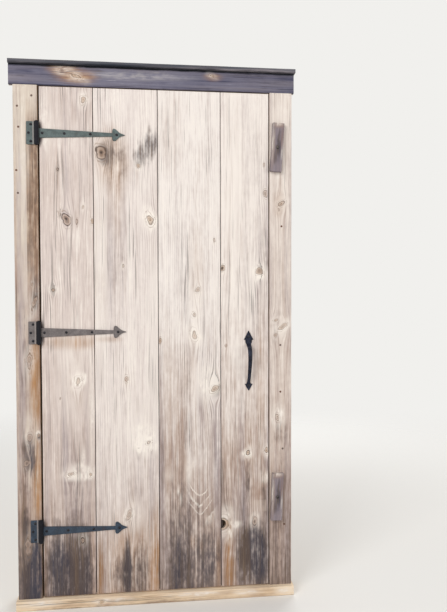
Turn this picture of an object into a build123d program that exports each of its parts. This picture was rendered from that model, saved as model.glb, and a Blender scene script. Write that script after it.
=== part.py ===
from build123d import *

import os

os.makedirs("parts", exist_ok=True)

# A ledged and braced barn door, hung on three T-hinges in a timber frame and shut by two
# turn buttons. Millimetres. X runs from the hinge side to the latch side, Y from the weather
# side to the barn side, Z up. The origin is the middle of the doorway on the sill's underside,
# in the plane where the casings meet the posts.

# Driving sizes of the leaf
board_widths = [198.0, 243.0, 242.0, 190.0]
board_thickness = 22.0
board_seam = 2.0
lap_width = 9.0
lap_clearance = 0.4
leaf_height = 1949.0
ledge_height = 140.0
ledge_thickness = 22.0
brace_foot = 150.0
brace_end_share = 0.08
knot_hole_width = 18.0
knot_hole_height = 36.0
knot_hole_rise = 257.0

# Running gaps round the leaf
hinge_gap = 7.0
latch_gap = 4.0
head_gap = 5.0
sill_gap = 6.0
stop_clearance = 0.5
ledge_end_clearance = 6.0

# Driving sizes of the frame
casing_width = 89.0
casing_thickness = 19.0
post_depth = 89.0
head_beam_height = 89.0
stop_width = 19.0
stop_depth = 38.0
head_board_height = 76.0
head_overhang_hinge_side = 15.0
head_overhang_latch_side = 8.0
cap_thickness = 19.0
cap_nosing = 14.0
cap_slope = 3.0
cap_overhang_latch_side = 12.0
sill_height = 38.0
sill_depth = 140.0
sill_nosing = 19.0
sill_overhang = 6.0
arris = 1.5

# Driving sizes of the T-hinges
hinge_steel = 4.0
pin_diameter = 9.0
pin_fit = 0.05
barrel_clearance = 0.4
axis_setback = 1.0
barrel_height = 86.0
strap_eye_height = 36.0
eye_gap = 0.5
eye_slit = 0.8
pin_head_diameter = 13.5
pin_head_height = 3.5
flange_start = 2.5
plate_reach = 39.0
plate_corner = 3.0
steel_arris = 0.7
strap_root_height = 36.0
strap_neck_height = 13.0
strap_taper_length = 280.0
spear_height = 46.0
spear_length = 47.0
strap_first_screw_reach = 20.0
strap_screw_shares = [0.3625, 0.707]
spear_screw_share = 0.36
plate_screw_reach = 22.0
plate_middle_screw_reach = 30.5
plate_screw_rise = 31.5
upper_hinge_drop = 180.0
middle_hinge_lift = 5.0
lower_hinge_rise = 263.0

# Driving sizes of the pull handle
handle_inset = 80.5
handle_middle_rise = 906.5
handle_length = 236.0
handle_steel = 3.0
handle_bow = 48.0
grip_thickness = 9.0
grip_end_thickness = 4.0
grip_width_top = 19.0
grip_width_bottom = 12.0
upper_spear_width = 39.0
upper_spear_length = 54.0
upper_collar_width = 26.0
lower_spear_width = 31.0
lower_spear_length = 38.0
spear_tip_width = 2.4

# Driving sizes of the turn buttons, and how far each leans from upright
button_length = 190.0
button_width = 46.0
button_thickness = 19.0
button_clearance = 0.5
button_inset = 28.0
button_arris = 2.0
upper_button_drop = 215.0
upper_button_lean = 3.5
lower_button_rise = 361.5
lower_button_lean = 2.0

# Driving sizes of the fasteners
screw_diameter = 5.0
screw_head_diameter = 10.0
screw_head_height = 2.6
screw_grip = 18.0
ledge_screw_grip = 14.0
pivot_diameter = 8.0
pivot_head_diameter = 13.0
pivot_head_height = 3.4
pivot_depth = 45.0
pivot_fit = 0.08
nail_diameter = 3.6
nail_head_diameter = 8.0
nail_head_height = 1.2
nail_depth = 31.0
hole_clearance = 0.05

# Casing nails, as the distance from the jamb and the drop from the head or rise from the sill
nail_drops_hinge_side = [(20.0, 40.0), (73.0, 80.0), (69.0, 158.0), (78.0, 320.0), (73.0, 405.0)]
nail_drops_latch_side = [(48.0, 522.0)]
nail_rises_latch_side = [(44.0, 967.0), (44.0, 780.0), (53.0, 551.0), (60.0, 245.0)]

# Planes and edges that the pieces share
leaf_width = sum(board_widths) + board_seam * (len(board_widths) - 1)
opening_width = hinge_gap + leaf_width + latch_gap
opening_height = sill_gap + leaf_height + head_gap
hinge_jamb_x = -opening_width / 2
latch_jamb_x = opening_width / 2
outer_x = latch_jamb_x + casing_width
opening_top_z = sill_height + opening_height
face_y = -casing_thickness
leaf_left_x = hinge_jamb_x + hinge_gap
leaf_right_x = leaf_left_x + leaf_width
leaf_bottom_z = sill_height + sill_gap
leaf_back_y = face_y + board_thickness
ledge_back_y = leaf_back_y + ledge_thickness
ledge_left_x = hinge_jamb_x + stop_width + ledge_end_clearance
ledge_right_x = latch_jamb_x - stop_width - ledge_end_clearance

# Heights and axes of the hinges, the handle and the buttons
upper_hinge_z = opening_top_z - upper_hinge_drop
lower_hinge_z = sill_height + lower_hinge_rise
middle_hinge_z = (upper_hinge_z + lower_hinge_z) / 2 + middle_hinge_lift
hinge_heights = {"upper": upper_hinge_z, "middle": middle_hinge_z, "lower": lower_hinge_z}
ledge_heights = {"top": upper_hinge_z, "middle": middle_hinge_z, "bottom": lower_hinge_z}
pin_radius = pin_diameter / 2
eye_radius = pin_radius + hinge_steel
axis_x = hinge_jamb_x - axis_setback
axis_y = face_y - barrel_clearance - eye_radius
handle_x = leaf_right_x - handle_inset
handle_middle_z = sill_height + handle_middle_rise
handle_top_z = handle_middle_z + handle_length / 2
handle_bottom_z = handle_middle_z - handle_length / 2
button_x = latch_jamb_x + button_inset
buttons = {
    "upper": (opening_top_z - upper_button_drop, upper_button_lean),
    "lower": (sill_height + lower_button_rise, lower_button_lean),
}
button_back_y = face_y - button_clearance
button_front_y = button_back_y - button_thickness
pivot_head_y = button_front_y - button_clearance


def keep(builder, name):
    """Name a finished piece and write its STEP file."""
    builder.part.label = name
    export_step(builder.part, f"parts/{name}.step")


def front_planes(points, y):
    """Planes that face the weather side at the given x, z points."""
    return [Plane((x, y, z), x_dir=(1, 0, 0), z_dir=(0, -1, 0)) for x, z in points]


def back_planes(points, y):
    """Planes that face the barn side at the given x, z points."""
    return [Plane((x, y, z), x_dir=(1, 0, 0), z_dir=(0, 1, 0)) for x, z in points]


def within(points, low_x, high_x, low_z, high_z):
    """The points that lie inside a rectangle of the door's face."""
    return [(x, z) for x, z in points if low_x < x < high_x and low_z < z < high_z]


def drill(planes, diameter, depth):
    """Drill the piece at hand for a fastener below each plane."""
    if planes:
        with Locations(*planes):
            Hole(diameter / 2 + hole_clearance, depth)


def sawn_board(low, high, grain, drillings=()):
    """A sawn timber between two corners, its arrises eased along the grain, and drilled."""
    with BuildPart() as timber:
        with Locations(low):
            Box(*(b - a for a, b in zip(low, high)), align=(Align.MIN, Align.MIN, Align.MIN))
        chamfer(timber.edges().filter_by(grain), arris)
        for planes, diameter, depth in drillings:
            drill(planes, diameter, depth)
    return timber


def dome_radius(diameter, height):
    """The radius of the ball that a domed head of this diameter and height is cut from."""
    return ((diameter / 2) ** 2 + height**2) / (2 * height)


def headed_fastener(diameter, length, head_diameter, head_height):
    """A domed head that stands on the local XY plane, with a pointed shank below it."""
    shank = diameter / 2
    head = head_diameter / 2
    with BuildPart() as fastener:
        with BuildSketch(Plane.XZ):
            with BuildLine():
                Polyline((0, -length), (shank, diameter - length), (shank, 0), (head, 0))
                RadiusArc((head, 0), (0, head_height), -dome_radius(head_diameter, head_height))
                Line((0, head_height), (0, -length))
            make_face()
        revolve(axis=Axis.Z)
    return fastener.part


def fastener_group(planes, fastener):
    """Copies of one fastener, one seated on each plane."""
    with BuildPart() as group:
        with Locations(*planes):
            add(fastener)
    return group


# Screws of the hinges, as x and z
strap_screw_reaches = [strap_first_screw_reach]
strap_screw_reaches += [strap_taper_length * share for share in strap_screw_shares]
strap_screw_reaches += [strap_taper_length + spear_length * spear_screw_share]
strap_screw_points = [
    (axis_x + reach, z) for z in hinge_heights.values() for reach in strap_screw_reaches
]
plate_screw_points = []
for z in hinge_heights.values():
    plate_screw_points += [
        (axis_x - plate_screw_reach, z + plate_screw_rise),
        (axis_x - plate_middle_screw_reach, z),
        (axis_x - plate_screw_reach, z - plate_screw_rise),
    ]

# Screws of the handle, in the middle of its spears
handle_screw_points = [
    (handle_x, handle_top_z - upper_spear_length * 0.4),
    (handle_x, handle_bottom_z + lower_spear_length * 0.52),
]

# Nails of the casings and pivots of the buttons
hinge_side_nails = [
    (hinge_jamb_x - inset, opening_top_z - drop) for inset, drop in nail_drops_hinge_side
]
latch_side_nails = [
    (latch_jamb_x + inset, opening_top_z - drop) for inset, drop in nail_drops_latch_side
]
latch_side_nails += [
    (latch_jamb_x + inset, sill_height + rise) for inset, rise in nail_rises_latch_side
]
pivot_points = [(button_x, z) for z, lean in buttons.values()]

# Left edges of the boards at the weather face
board_lefts = [
    leaf_left_x + sum(board_widths[:i]) + board_seam * i for i in range(len(board_widths))
]

# Screws from the back through the ledges, two into each board, high and low by turns
ledge_screw_points = []
for z in ledge_heights.values():
    for left, width in zip(board_lefts, board_widths):
        ledge_screw_points += [
            (left + width * 0.28, z + ledge_height / 4),
            (left + width * 0.72, z - ledge_height / 4),
        ]

# Heights that the braces fill between the ledges, and one screw from each brace to each board
brace_spans = {
    "lower": (lower_hinge_z + ledge_height / 2, middle_hinge_z - ledge_height / 2),
    "upper": (middle_hinge_z + ledge_height / 2, upper_hinge_z - ledge_height / 2),
}
brace_start_x = ledge_left_x + brace_foot / 2
brace_run = ledge_right_x - ledge_left_x - brace_foot
brace_screw_points = []
for low_z, high_z in brace_spans.values():
    for left, width in zip(board_lefts, board_widths):
        share = (left + width / 2 - brace_start_x) / brace_run
        share = min(max(share, brace_end_share), 1 - brace_end_share)
        brace_screw_points.append(
            (brace_start_x + brace_run * share, low_z + (high_z - low_z) * share)
        )

# Sill
sill_front_y = face_y - sill_nosing
sill = sawn_board(
    (-outer_x - sill_overhang, sill_front_y, 0),
    (outer_x + sill_overhang, sill_front_y + sill_depth, sill_height),
    Axis.X,
)
keep(sill, "sill")

# Posts and the casings that cover them
plate_drilling = (front_planes(plate_screw_points, face_y), screw_diameter, screw_grip)
pivot_drilling = (front_planes(pivot_points, face_y), pivot_diameter, casing_thickness + pivot_depth)
sides = {
    "left": (-outer_x, hinge_jamb_x, hinge_side_nails, plate_drilling),
    "right": (latch_jamb_x, outer_x, latch_side_nails, pivot_drilling),
}
for side, (low_x, high_x, nails, drilling) in sides.items():
    nail_drilling = (front_planes(nails, face_y), nail_diameter, casing_thickness + nail_depth)
    casing = sawn_board(
        (low_x, face_y, sill_height),
        (high_x, 0, opening_top_z),
        Axis.Z,
        [nail_drilling, drilling],
    )
    keep(casing, f"{side}_casing")
    post = sawn_board(
        (low_x, 0, sill_height),
        (high_x, post_depth, opening_top_z),
        Axis.Z,
        [nail_drilling, drilling],
    )
    keep(post, f"{side}_post")

casing_nail = headed_fastener(
    nail_diameter, casing_thickness + nail_depth, nail_head_diameter, nail_head_height
)
nail_planes = front_planes(hinge_side_nails + latch_side_nails, face_y)
keep(fastener_group(nail_planes, casing_nail), "casing_nails")

# Beam across the posts
head_beam = sawn_board(
    (-outer_x, 0, opening_top_z),
    (outer_x, post_depth, opening_top_z + head_beam_height),
    Axis.X,
)
keep(head_beam, "head_beam")

# Head board over the casings
head_left_x = -outer_x - head_overhang_hinge_side
head_right_x = outer_x + head_overhang_latch_side
head_top_z = opening_top_z + head_board_height
head_board = sawn_board((head_left_x, face_y, opening_top_z), (head_right_x, 0, head_top_z), Axis.X)
keep(head_board, "head_board")

# Drip cap on the head board, its top sloped to shed rain
with BuildPart() as drip_cap:
    with BuildSketch(Plane.YZ.offset(head_left_x)):
        with BuildLine():
            Polyline(
                (0, head_top_z),
                (face_y - cap_nosing, head_top_z),
                (face_y - cap_nosing, head_top_z + cap_thickness - cap_slope),
                (0, head_top_z + cap_thickness),
                close=True,
            )
        make_face()
    extrude(amount=outer_x + cap_overhang_latch_side - head_left_x)
    chamfer(drip_cap.edges().filter_by(Axis.X).group_by(Axis.Y)[0], arris)
keep(drip_cap, "drip_cap")

# Stops that the leaf shuts against
stop_front_y = leaf_back_y + stop_clearance
stop_back_y = stop_front_y + stop_depth
head_stop_z = opening_top_z - stop_width
for side, low_x in {"left": hinge_jamb_x, "right": latch_jamb_x - stop_width}.items():
    side_stop = sawn_board(
        (low_x, stop_front_y, sill_height), (low_x + stop_width, stop_back_y, head_stop_z), Axis.Z
    )
    keep(side_stop, f"{side}_stop")
head_stop = sawn_board(
    (hinge_jamb_x, stop_front_y, head_stop_z), (latch_jamb_x, stop_back_y, opening_top_z), Axis.X
)
keep(head_stop, "head_stop")

# Leaf boards, each with a back lip that lies behind the next board's front lip
front_lip_y = face_y + board_thickness / 2
back_lip_y = front_lip_y + lap_clearance
last_board = len(board_widths) - 1
for number, (left, width) in enumerate(zip(board_lefts, board_widths)):
    right = left + width
    has_left_lap = number > 0
    has_right_lap = number < last_board
    own_front_points = within(
        strap_screw_points + handle_screw_points, left, right, leaf_bottom_z, opening_top_z
    )
    own_back_points = within(
        ledge_screw_points + brace_screw_points, left, right, leaf_bottom_z, opening_top_z
    )
    with BuildPart() as board:
        with BuildSketch(Plane.XY.offset(leaf_bottom_z)):
            with Locations((left, face_y)):
                Rectangle(width, board_thickness, align=(Align.MIN, Align.MIN))
            if has_right_lap:
                with Locations((right, back_lip_y)):
                    Rectangle(lap_width, leaf_back_y - back_lip_y, align=(Align.MIN, Align.MIN))
            if has_left_lap:
                with Locations((left, front_lip_y)):
                    Rectangle(
                        lap_width,
                        leaf_back_y - front_lip_y,
                        align=(Align.MIN, Align.MIN),
                        mode=Mode.SUBTRACT,
                    )
        extrude(amount=leaf_height)
        chamfer(board.edges().filter_by(Axis.Z).group_by(Axis.Y)[0], arris)
        drill(front_planes(own_front_points, face_y), screw_diameter, screw_grip)
        drill(back_planes(own_back_points, leaf_back_y), screw_diameter, ledge_screw_grip)
        if number == last_board:
            with BuildSketch(Plane.XZ.offset(-face_y)):
                with Locations((left, sill_height + knot_hole_rise)):
                    Ellipse(knot_hole_width, knot_hole_height / 2)
            extrude(amount=-board_thickness, mode=Mode.SUBTRACT)
    keep(board, f"leaf_board_{number + 1}")

# Ledges across the back of the leaf, one behind each hinge
for place, z in ledge_heights.items():
    low_z = z - ledge_height / 2
    high_z = z + ledge_height / 2
    own_points = within(ledge_screw_points, ledge_left_x, ledge_right_x, low_z, high_z)
    ledge = sawn_board(
        (ledge_left_x, leaf_back_y, low_z),
        (ledge_right_x, ledge_back_y, high_z),
        Axis.X,
        [(back_planes(own_points, ledge_back_y), screw_diameter, ledge_thickness)],
    )
    keep(ledge, f"{place}_ledge")

# Braces that rise from the hinge side and butt against the ledges
for place, (low_z, high_z) in brace_spans.items():
    own_points = within(brace_screw_points, ledge_left_x, ledge_right_x, low_z, high_z)
    with BuildPart() as brace:
        with BuildSketch(Plane.XZ.offset(-leaf_back_y)):
            with BuildLine():
                Polyline(
                    (ledge_left_x, low_z),
                    (ledge_left_x + brace_foot, low_z),
                    (ledge_right_x, high_z),
                    (ledge_right_x - brace_foot, high_z),
                    close=True,
                )
            make_face()
        extrude(amount=-ledge_thickness)
        drill(back_planes(own_points, ledge_back_y), screw_diameter, ledge_thickness)
    keep(brace, f"{place}_brace")

ledge_screw = headed_fastener(
    screw_diameter, ledge_thickness + ledge_screw_grip, screw_head_diameter, screw_head_height
)
keep(fastener_group(back_planes(ledge_screw_points, ledge_back_y), ledge_screw), "ledge_screws")
keep(fastener_group(back_planes(brace_screw_points, ledge_back_y), ledge_screw), "brace_screws")


def rolled_eye(low_z, high_z, flange_side):
    """One rolled eye round the pin, slit where the curl comes back to its flange."""
    height = high_z - low_z
    foot = (Align.CENTER, Align.CENTER, Align.MIN)
    with Locations((axis_x, axis_y, low_z)):
        Cylinder(eye_radius, height, align=foot)
        Cylinder(pin_radius + pin_fit, height, align=foot, mode=Mode.SUBTRACT)
    slit_x = axis_x + flange_side * eye_radius / 2
    with Locations((slit_x, face_y - hinge_steel - eye_slit / 2, low_z)):
        Box(eye_radius, eye_slit, height, align=foot, mode=Mode.SUBTRACT)


# T-hinges: a strap on the leaf, a plate on the casing and a pin peened over at both ends
half_neck = strap_neck_height / 2
half_spear = spear_height / 2
shoulder_reach = strap_taper_length + spear_length * 0.18
nose_reach = strap_taper_length + spear_length * 0.7
tip_reach = strap_taper_length + spear_length
half_tip = spear_tip_width / 2
half_eye_space = strap_eye_height / 2 + eye_gap
for place, hinge_z in hinge_heights.items():
    hinge_plane = Plane((axis_x, face_y, hinge_z), x_dir=(1, 0, 0), z_dir=(0, -1, 0))
    own_strap_screws = [(x, z) for x, z in strap_screw_points if z == hinge_z]
    own_plate_screws = within(
        plate_screw_points, -outer_x, axis_x, hinge_z - barrel_height / 2, hinge_z + barrel_height / 2
    )

    with BuildPart() as strap:
        with BuildSketch(hinge_plane):
            with BuildLine():
                Polyline(
                    (flange_start, 0),
                    (flange_start, strap_root_height / 2),
                    (strap_taper_length, half_neck),
                )
                Bezier(
                    (strap_taper_length, half_neck),
                    (strap_taper_length, half_spear * 0.85),
                    (strap_taper_length + spear_length * 0.02, half_spear),
                    (shoulder_reach, half_spear),
                )
                Bezier(
                    (shoulder_reach, half_spear),
                    (shoulder_reach + spear_length * 0.14, half_spear),
                    (nose_reach - spear_length * 0.2, half_spear * 0.38),
                    (nose_reach, half_spear * 0.25),
                )
                Bezier(
                    (nose_reach, half_spear * 0.25),
                    (nose_reach + spear_length * 0.12, half_spear * 0.17),
                    (tip_reach - spear_length * 0.1, half_tip),
                    (tip_reach, half_tip),
                )
                Line((tip_reach, half_tip), (tip_reach, 0))
                mirror(about=Plane.XZ)
            make_face()
        extrude(amount=hinge_steel)
        outline = strap.faces().sort_by(Axis.Y)[0].edges().filter_by(Axis.Z, reverse=True)
        chamfer(outline, steel_arris)
        rolled_eye(hinge_z - strap_eye_height / 2, hinge_z + strap_eye_height / 2, 1)
        drill(front_planes(own_strap_screws, face_y - hinge_steel), screw_diameter, hinge_steel)
    keep(strap, f"{place}_hinge_strap")

    with BuildPart() as plate:
        with BuildSketch(hinge_plane) as plate_outline:
            with Locations((-flange_start, 0)):
                Rectangle(
                    plate_reach - flange_start, barrel_height, align=(Align.MAX, Align.CENTER)
                )
            fillet(plate_outline.vertices().sort_by(Axis.X)[:2], plate_corner)
        extrude(amount=hinge_steel)
        for low_z in (hinge_z - barrel_height / 2, hinge_z + half_eye_space):
            rolled_eye(low_z, low_z + barrel_height / 2 - half_eye_space, -1)
        with BuildSketch(hinge_plane):
            with Locations((-eye_radius - eye_gap, 0)):
                Rectangle(2 * eye_radius, 2 * half_eye_space, align=(Align.MIN, Align.CENTER))
        extrude(amount=hinge_steel, mode=Mode.SUBTRACT)
        drill(front_planes(own_plate_screws, face_y - hinge_steel), screw_diameter, hinge_steel)
    keep(plate, f"{place}_hinge_plate")

    with BuildPart() as pin:
        half_barrel = barrel_height / 2
        head = pin_head_diameter / 2
        with BuildSketch(Plane((axis_x, axis_y, hinge_z), x_dir=(1, 0, 0), z_dir=(0, -1, 0))):
            with BuildLine():
                Polyline((0, 0), (pin_radius, 0), (pin_radius, half_barrel), (head, half_barrel))
                RadiusArc(
                    (head, half_barrel),
                    (0, half_barrel + pin_head_height),
                    -dome_radius(pin_head_diameter, pin_head_height),
                )
                Line((0, half_barrel + pin_head_height), (0, 0))
            make_face()
        revolve(axis=Axis((axis_x, axis_y, 0), (0, 0, 1)))
        mirror(about=Plane.XY.offset(hinge_z))
    keep(pin, f"{place}_hinge_pin")

hinge_screw = headed_fastener(
    screw_diameter, hinge_steel + screw_grip, screw_head_diameter, screw_head_height
)
steel_face_y = face_y - hinge_steel
keep(fastener_group(front_planes(strap_screw_points, steel_face_y), hinge_screw), "strap_screws")
keep(fastener_group(front_planes(plate_screw_points, steel_face_y), hinge_screw), "plate_screws")

# Pull handle: a flat spear at each end and a rounded grip bowed out between them
grip_top_z = handle_top_z - upper_spear_length
grip_bottom_z = handle_bottom_z + lower_spear_length
grip_span = grip_top_z - grip_bottom_z
plate_y = face_y - handle_steel
upper_plane = Plane((handle_x, face_y, handle_top_z), x_dir=(1, 0, 0), z_dir=(0, -1, 0))
lower_plane = Plane((handle_x, face_y, handle_bottom_z), x_dir=(1, 0, 0), z_dir=(0, -1, 0))
half_upper = upper_spear_width / 2
half_collar = upper_collar_width / 2
half_lower = lower_spear_width / 2
half_grip_top = grip_width_top / 2
half_grip_bottom = grip_width_bottom / 2
upper_barb = upper_spear_length * 0.64
lower_barb = lower_spear_length * 0.68
seat = handle_steel * 0.7
bow_axis = handle_bow - grip_thickness / 2
grip_stations = 9
with BuildPart() as pull_handle:
    with BuildSketch(upper_plane):
        with BuildLine():
            Polyline((0, 0), (half_tip, 0))
            Bezier(
                (half_tip, 0),
                (half_upper * 0.35, -upper_barb * 0.3),
                (half_upper * 0.75, -upper_barb * 0.8),
                (half_upper, -upper_barb),
            )
            Bezier(
                (half_upper, -upper_barb),
                (half_collar * 1.2, -upper_barb * 0.98),
                (half_collar, -upper_barb * 1.02),
                (half_collar, -upper_barb * 1.15),
            )
            Bezier(
                (half_collar, -upper_barb * 1.15),
                (half_collar, -upper_spear_length * 0.92),
                (half_grip_top, -upper_spear_length * 0.9),
                (half_grip_top * 0.9, -upper_spear_length),
            )
            Line((half_grip_top * 0.9, -upper_spear_length), (0, -upper_spear_length))
            mirror(about=Plane.YZ)
        make_face()
    with BuildSketch(lower_plane):
        with BuildLine():
            Polyline((0, 0), (half_tip, 0))
            Bezier(
                (half_tip, 0),
                (half_lower * 0.4, lower_barb * 0.3),
                (half_lower * 0.8, lower_barb * 0.75),
                (half_lower, lower_barb),
            )
            Bezier(
                (half_lower, lower_barb),
                (half_lower * 0.7, lower_barb * 0.97),
                (half_grip_bottom * 1.2, lower_barb * 1.02),
                (half_grip_bottom * 1.2, lower_barb * 1.25),
            )
            Polyline(
                (half_grip_bottom * 1.2, lower_barb * 1.25),
                (half_grip_bottom * 0.8, lower_spear_length),
                (0, lower_spear_length),
            )
            mirror(about=Plane.YZ)
        make_face()
    extrude(amount=handle_steel)
    plate_edges = pull_handle.faces().sort_by(Axis.Y)[:2].edges()
    chamfer(plate_edges, steel_arris)
    with BuildLine(mode=Mode.PRIVATE):
        bow = Spline(
            (handle_x, face_y - seat, grip_top_z + grip_thickness),
            (handle_x, face_y - bow_axis * 0.72, grip_top_z - grip_span * 0.09),
            (handle_x, face_y - bow_axis, grip_top_z - grip_span * 0.34),
            (handle_x, face_y - bow_axis * 0.66, grip_top_z - grip_span * 0.7),
            (handle_x, face_y - seat, grip_bottom_z - grip_thickness),
            tangents=[(0, -0.6, -1), (0, 0.6, -1)],
        )
    for station in range(grip_stations):
        share = station / (grip_stations - 1)
        width = grip_width_top + (grip_width_bottom - grip_width_top) * share
        fullness = 4 * share * (1 - share)
        thickness = grip_end_thickness + (grip_thickness - grip_end_thickness) * fullness
        with BuildSketch(Plane(bow @ share, x_dir=(1, 0, 0), z_dir=bow % share)):
            Ellipse(width / 2, thickness / 2)
    loft()
    drill(front_planes(handle_screw_points, plate_y), screw_diameter, handle_steel)
keep(pull_handle, "pull_handle")

handle_screw = headed_fastener(
    screw_diameter, handle_steel + screw_grip, screw_head_diameter, screw_head_height
)
keep(fastener_group(front_planes(handle_screw_points, plate_y), handle_screw), "handle_screws")

# Turn buttons on the latch casing, each turning on one screw, stored upright and clear
pivot_screw = headed_fastener(
    pivot_diameter, pivot_depth - pivot_head_y, pivot_head_diameter, pivot_head_height
)
for place, (z, lean) in buttons.items():
    with BuildPart() as button:
        button_plane = Plane((button_x, button_back_y, z), x_dir=(1, 0, 0), z_dir=(0, -1, 0))
        with BuildSketch(button_plane):
            Rectangle(button_width, button_length, rotation=-lean)
        extrude(amount=button_thickness)
        chamfer(button.faces().sort_by(Axis.Y)[0].edges(), button_arris)
        with Locations(button_plane.offset(button_thickness)):
            Hole(pivot_diameter / 2 + pivot_fit, button_thickness)
    keep(button, f"{place}_turn_button")
    keep(fastener_group(front_planes([(button_x, z)], pivot_head_y), pivot_screw), f"{place}_pivot_screw")
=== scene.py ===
import math
from collections import namedtuple

import bmesh
import bpy
import numpy as np
from bpy.props import FloatProperty, FloatVectorProperty, PointerProperty
from mathutils import Matrix, Vector


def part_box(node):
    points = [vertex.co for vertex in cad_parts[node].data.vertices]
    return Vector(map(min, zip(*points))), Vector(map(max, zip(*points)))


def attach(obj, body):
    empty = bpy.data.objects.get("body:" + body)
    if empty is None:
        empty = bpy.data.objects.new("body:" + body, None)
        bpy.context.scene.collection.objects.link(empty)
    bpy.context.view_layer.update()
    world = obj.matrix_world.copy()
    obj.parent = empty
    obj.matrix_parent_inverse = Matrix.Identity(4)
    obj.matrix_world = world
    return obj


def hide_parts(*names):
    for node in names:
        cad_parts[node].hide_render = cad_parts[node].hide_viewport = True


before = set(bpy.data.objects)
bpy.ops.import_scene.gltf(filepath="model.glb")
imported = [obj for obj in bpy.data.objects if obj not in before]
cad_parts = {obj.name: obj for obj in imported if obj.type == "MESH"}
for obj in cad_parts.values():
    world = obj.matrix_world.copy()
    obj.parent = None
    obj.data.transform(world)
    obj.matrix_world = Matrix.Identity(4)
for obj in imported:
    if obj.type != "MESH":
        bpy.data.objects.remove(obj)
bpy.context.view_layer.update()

bl_info = {
    "name": "Barn door finish",
    "version": (1, 0, 0),
    "blender": (4, 5, 0),
    "location": "3D View > Sidebar > Barn Door",
    "description": "Dresses a ledged and braced barn door in weathered pine and dulled iron",
    "category": "Object",
}

MM = 0.001


# Settings that a user can change

def linear(code):
    """An sRGB hex colour as linear red, green, blue and an alpha of one."""
    shares = [int(code[i : i + 2], 16) / 255 for i in (1, 3, 5)]
    return (*(s / 12.92 if s <= 0.04045 else ((s + 0.055) / 1.055) ** 2.4 for s in shares), 1.0)


def colour(name, description, code):
    """A colour that a user can change, with its default written as sRGB hex."""
    return FloatVectorProperty(
        name=name,
        description=description,
        default=linear(code),
        subtype="COLOR",
        size=4,
        min=0.0,
        max=1.0,
    )


def length(name, description, millimetres):
    """A length that a user can change."""
    return FloatProperty(
        name=name,
        description=description,
        default=millimetres * MM,
        min=0.0,
        precision=4,
        unit="LENGTH",
    )


def angle(name, description, degrees):
    """An angle that a user can change."""
    return FloatProperty(
        name=name, description=description, default=math.radians(degrees), subtype="ANGLE"
    )


def power(name, description, watts):
    """A lamp's power that a user can change."""
    return FloatProperty(name=name, description=description, default=watts, min=0.0, unit="POWER")


class TimberSettings(bpy.types.PropertyGroup):
    """Sizes and colours of the timber."""

    board_seam: length("Board seam", "Gap between two boards at the weather face", 2.0)
    lap_gap: length("Lap gap", "Gap between the lips of two boards", 0.4)
    cap_slope: length("Cap slope", "Fall of the drip cap's top to its nose", 3.0)
    arris: length("Arris", "Width of the worn rounding along an edge", 2.2)
    column: length("Column", "Width of the faces across a board", 4.0)
    row: length("Row", "Length of the faces along a board", 6.5)
    relief: length("Relief", "Depth that the weather has taken off round the knots", 0.7)
    wander: length("Wander", "How far a sawn edge strays", 0.6)
    ring_spacing: length("Ring spacing", "Distance between two yearly rings", 7.0)
    button_length: length("Button length", "Length of a turn button", 190.0)
    button_width: length("Button width", "Width of a turn button", 46.0)
    button_thickness: length("Button thickness", "Thickness of a turn button", 19.0)
    upper_button_lean: angle("Upper button lean", "Lean from upright to the right", 3.5)
    lower_button_lean: angle("Lower button lean", "Lean from upright to the right", 2.0)
    first_board: colour("First board", "Sunlit pine next to the hinges", "#DACCC4")
    second_board: colour("Second board", "Sunlit pine", "#E4D9D2")
    third_board: colour("Third board", "Sunlit pine", "#EBE2DB")
    fourth_board: colour("Fourth board", "Sunlit pine next to the latch side", "#EBE1D9")
    left_casing: colour("Left casing", "Sunlit pine, yellower", "#D6C9BA")
    right_casing: colour("Right casing", "Sunlit pine", "#E4D8CE")
    bleached_pine: colour("Bleached pine", "Wood round knots, bleached by the sun", "#F3EAE0")
    aged_pine: colour("Aged pine", "Streaks where the weather has greyed the pine", "#B5A094")
    cool_pine: colour("Cool pine", "Where the grey has turned towards blue", "#A69CA0")
    grimed_pine: colour("Grimed pine", "Pine that splash and mould have browned", "#7A6A62")
    ochre_pine: colour("Ochre pine", "Sheltered pine that has kept its resin", "#B5824D")
    brown_pine: colour("Brown pine", "Tannin drawn out by the rain", "#8C705A")
    damp_grey: colour("Damp grey", "Mould and splash above the sill", "#3A3C4A")
    damp_brown: colour("Damp brown", "The browner part of the damp", "#5E4F47")
    damp_pale: colour("Damp pale", "Hard fibres that stand out of the damp", "#98836F")
    # Check dark also gives the painted shade and dirt on the inner timber behind the gaps
    check_dark: colour("Check dark", "Inside a drying crack", "#3A302C")
    knot_light: colour("Knot light", "The middle of a sound knot", "#B08A62")
    knot_dark: colour("Knot dark", "The rim and bark of a knot", "#43352E")
    head_grey: colour("Head grey", "The head board, weathered purple-grey", "#7A7786")
    head_dark: colour("Head dark", "Darker streaks of the head board", "#4D4C60")
    cap_grey: colour("Cap grey", "The drip cap, weathered green-grey", "#4A5058")
    cap_dark: colour("Cap dark", "Darker streaks of the drip cap", "#2B3038")
    # Cap black is painted shade along the line under the drip cap's nose; it also gives the
    # buttons' darkest streaks
    cap_black: colour("Cap black", "The shaded line under the drip cap, never washed", "#1D2027")
    sill_yellow: colour("Sill yellow", "The sill, worn back to pale wood", "#ECD5B6")
    sill_brown: colour("Sill brown", "Darker streaks of the sill", "#B8967A")
    button_grey: colour("Button grey", "The turn buttons, weathered grey", "#94878A")
    button_dark: colour("Button dark", "Darker streaks of the turn buttons", "#544C58")
    inner_pine: colour("Inner pine", "Pine on the barn side, out of the rain", "#D9BC93")
    inner_brown: colour("Inner brown", "Its latewood and its age", "#A37C52")


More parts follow.
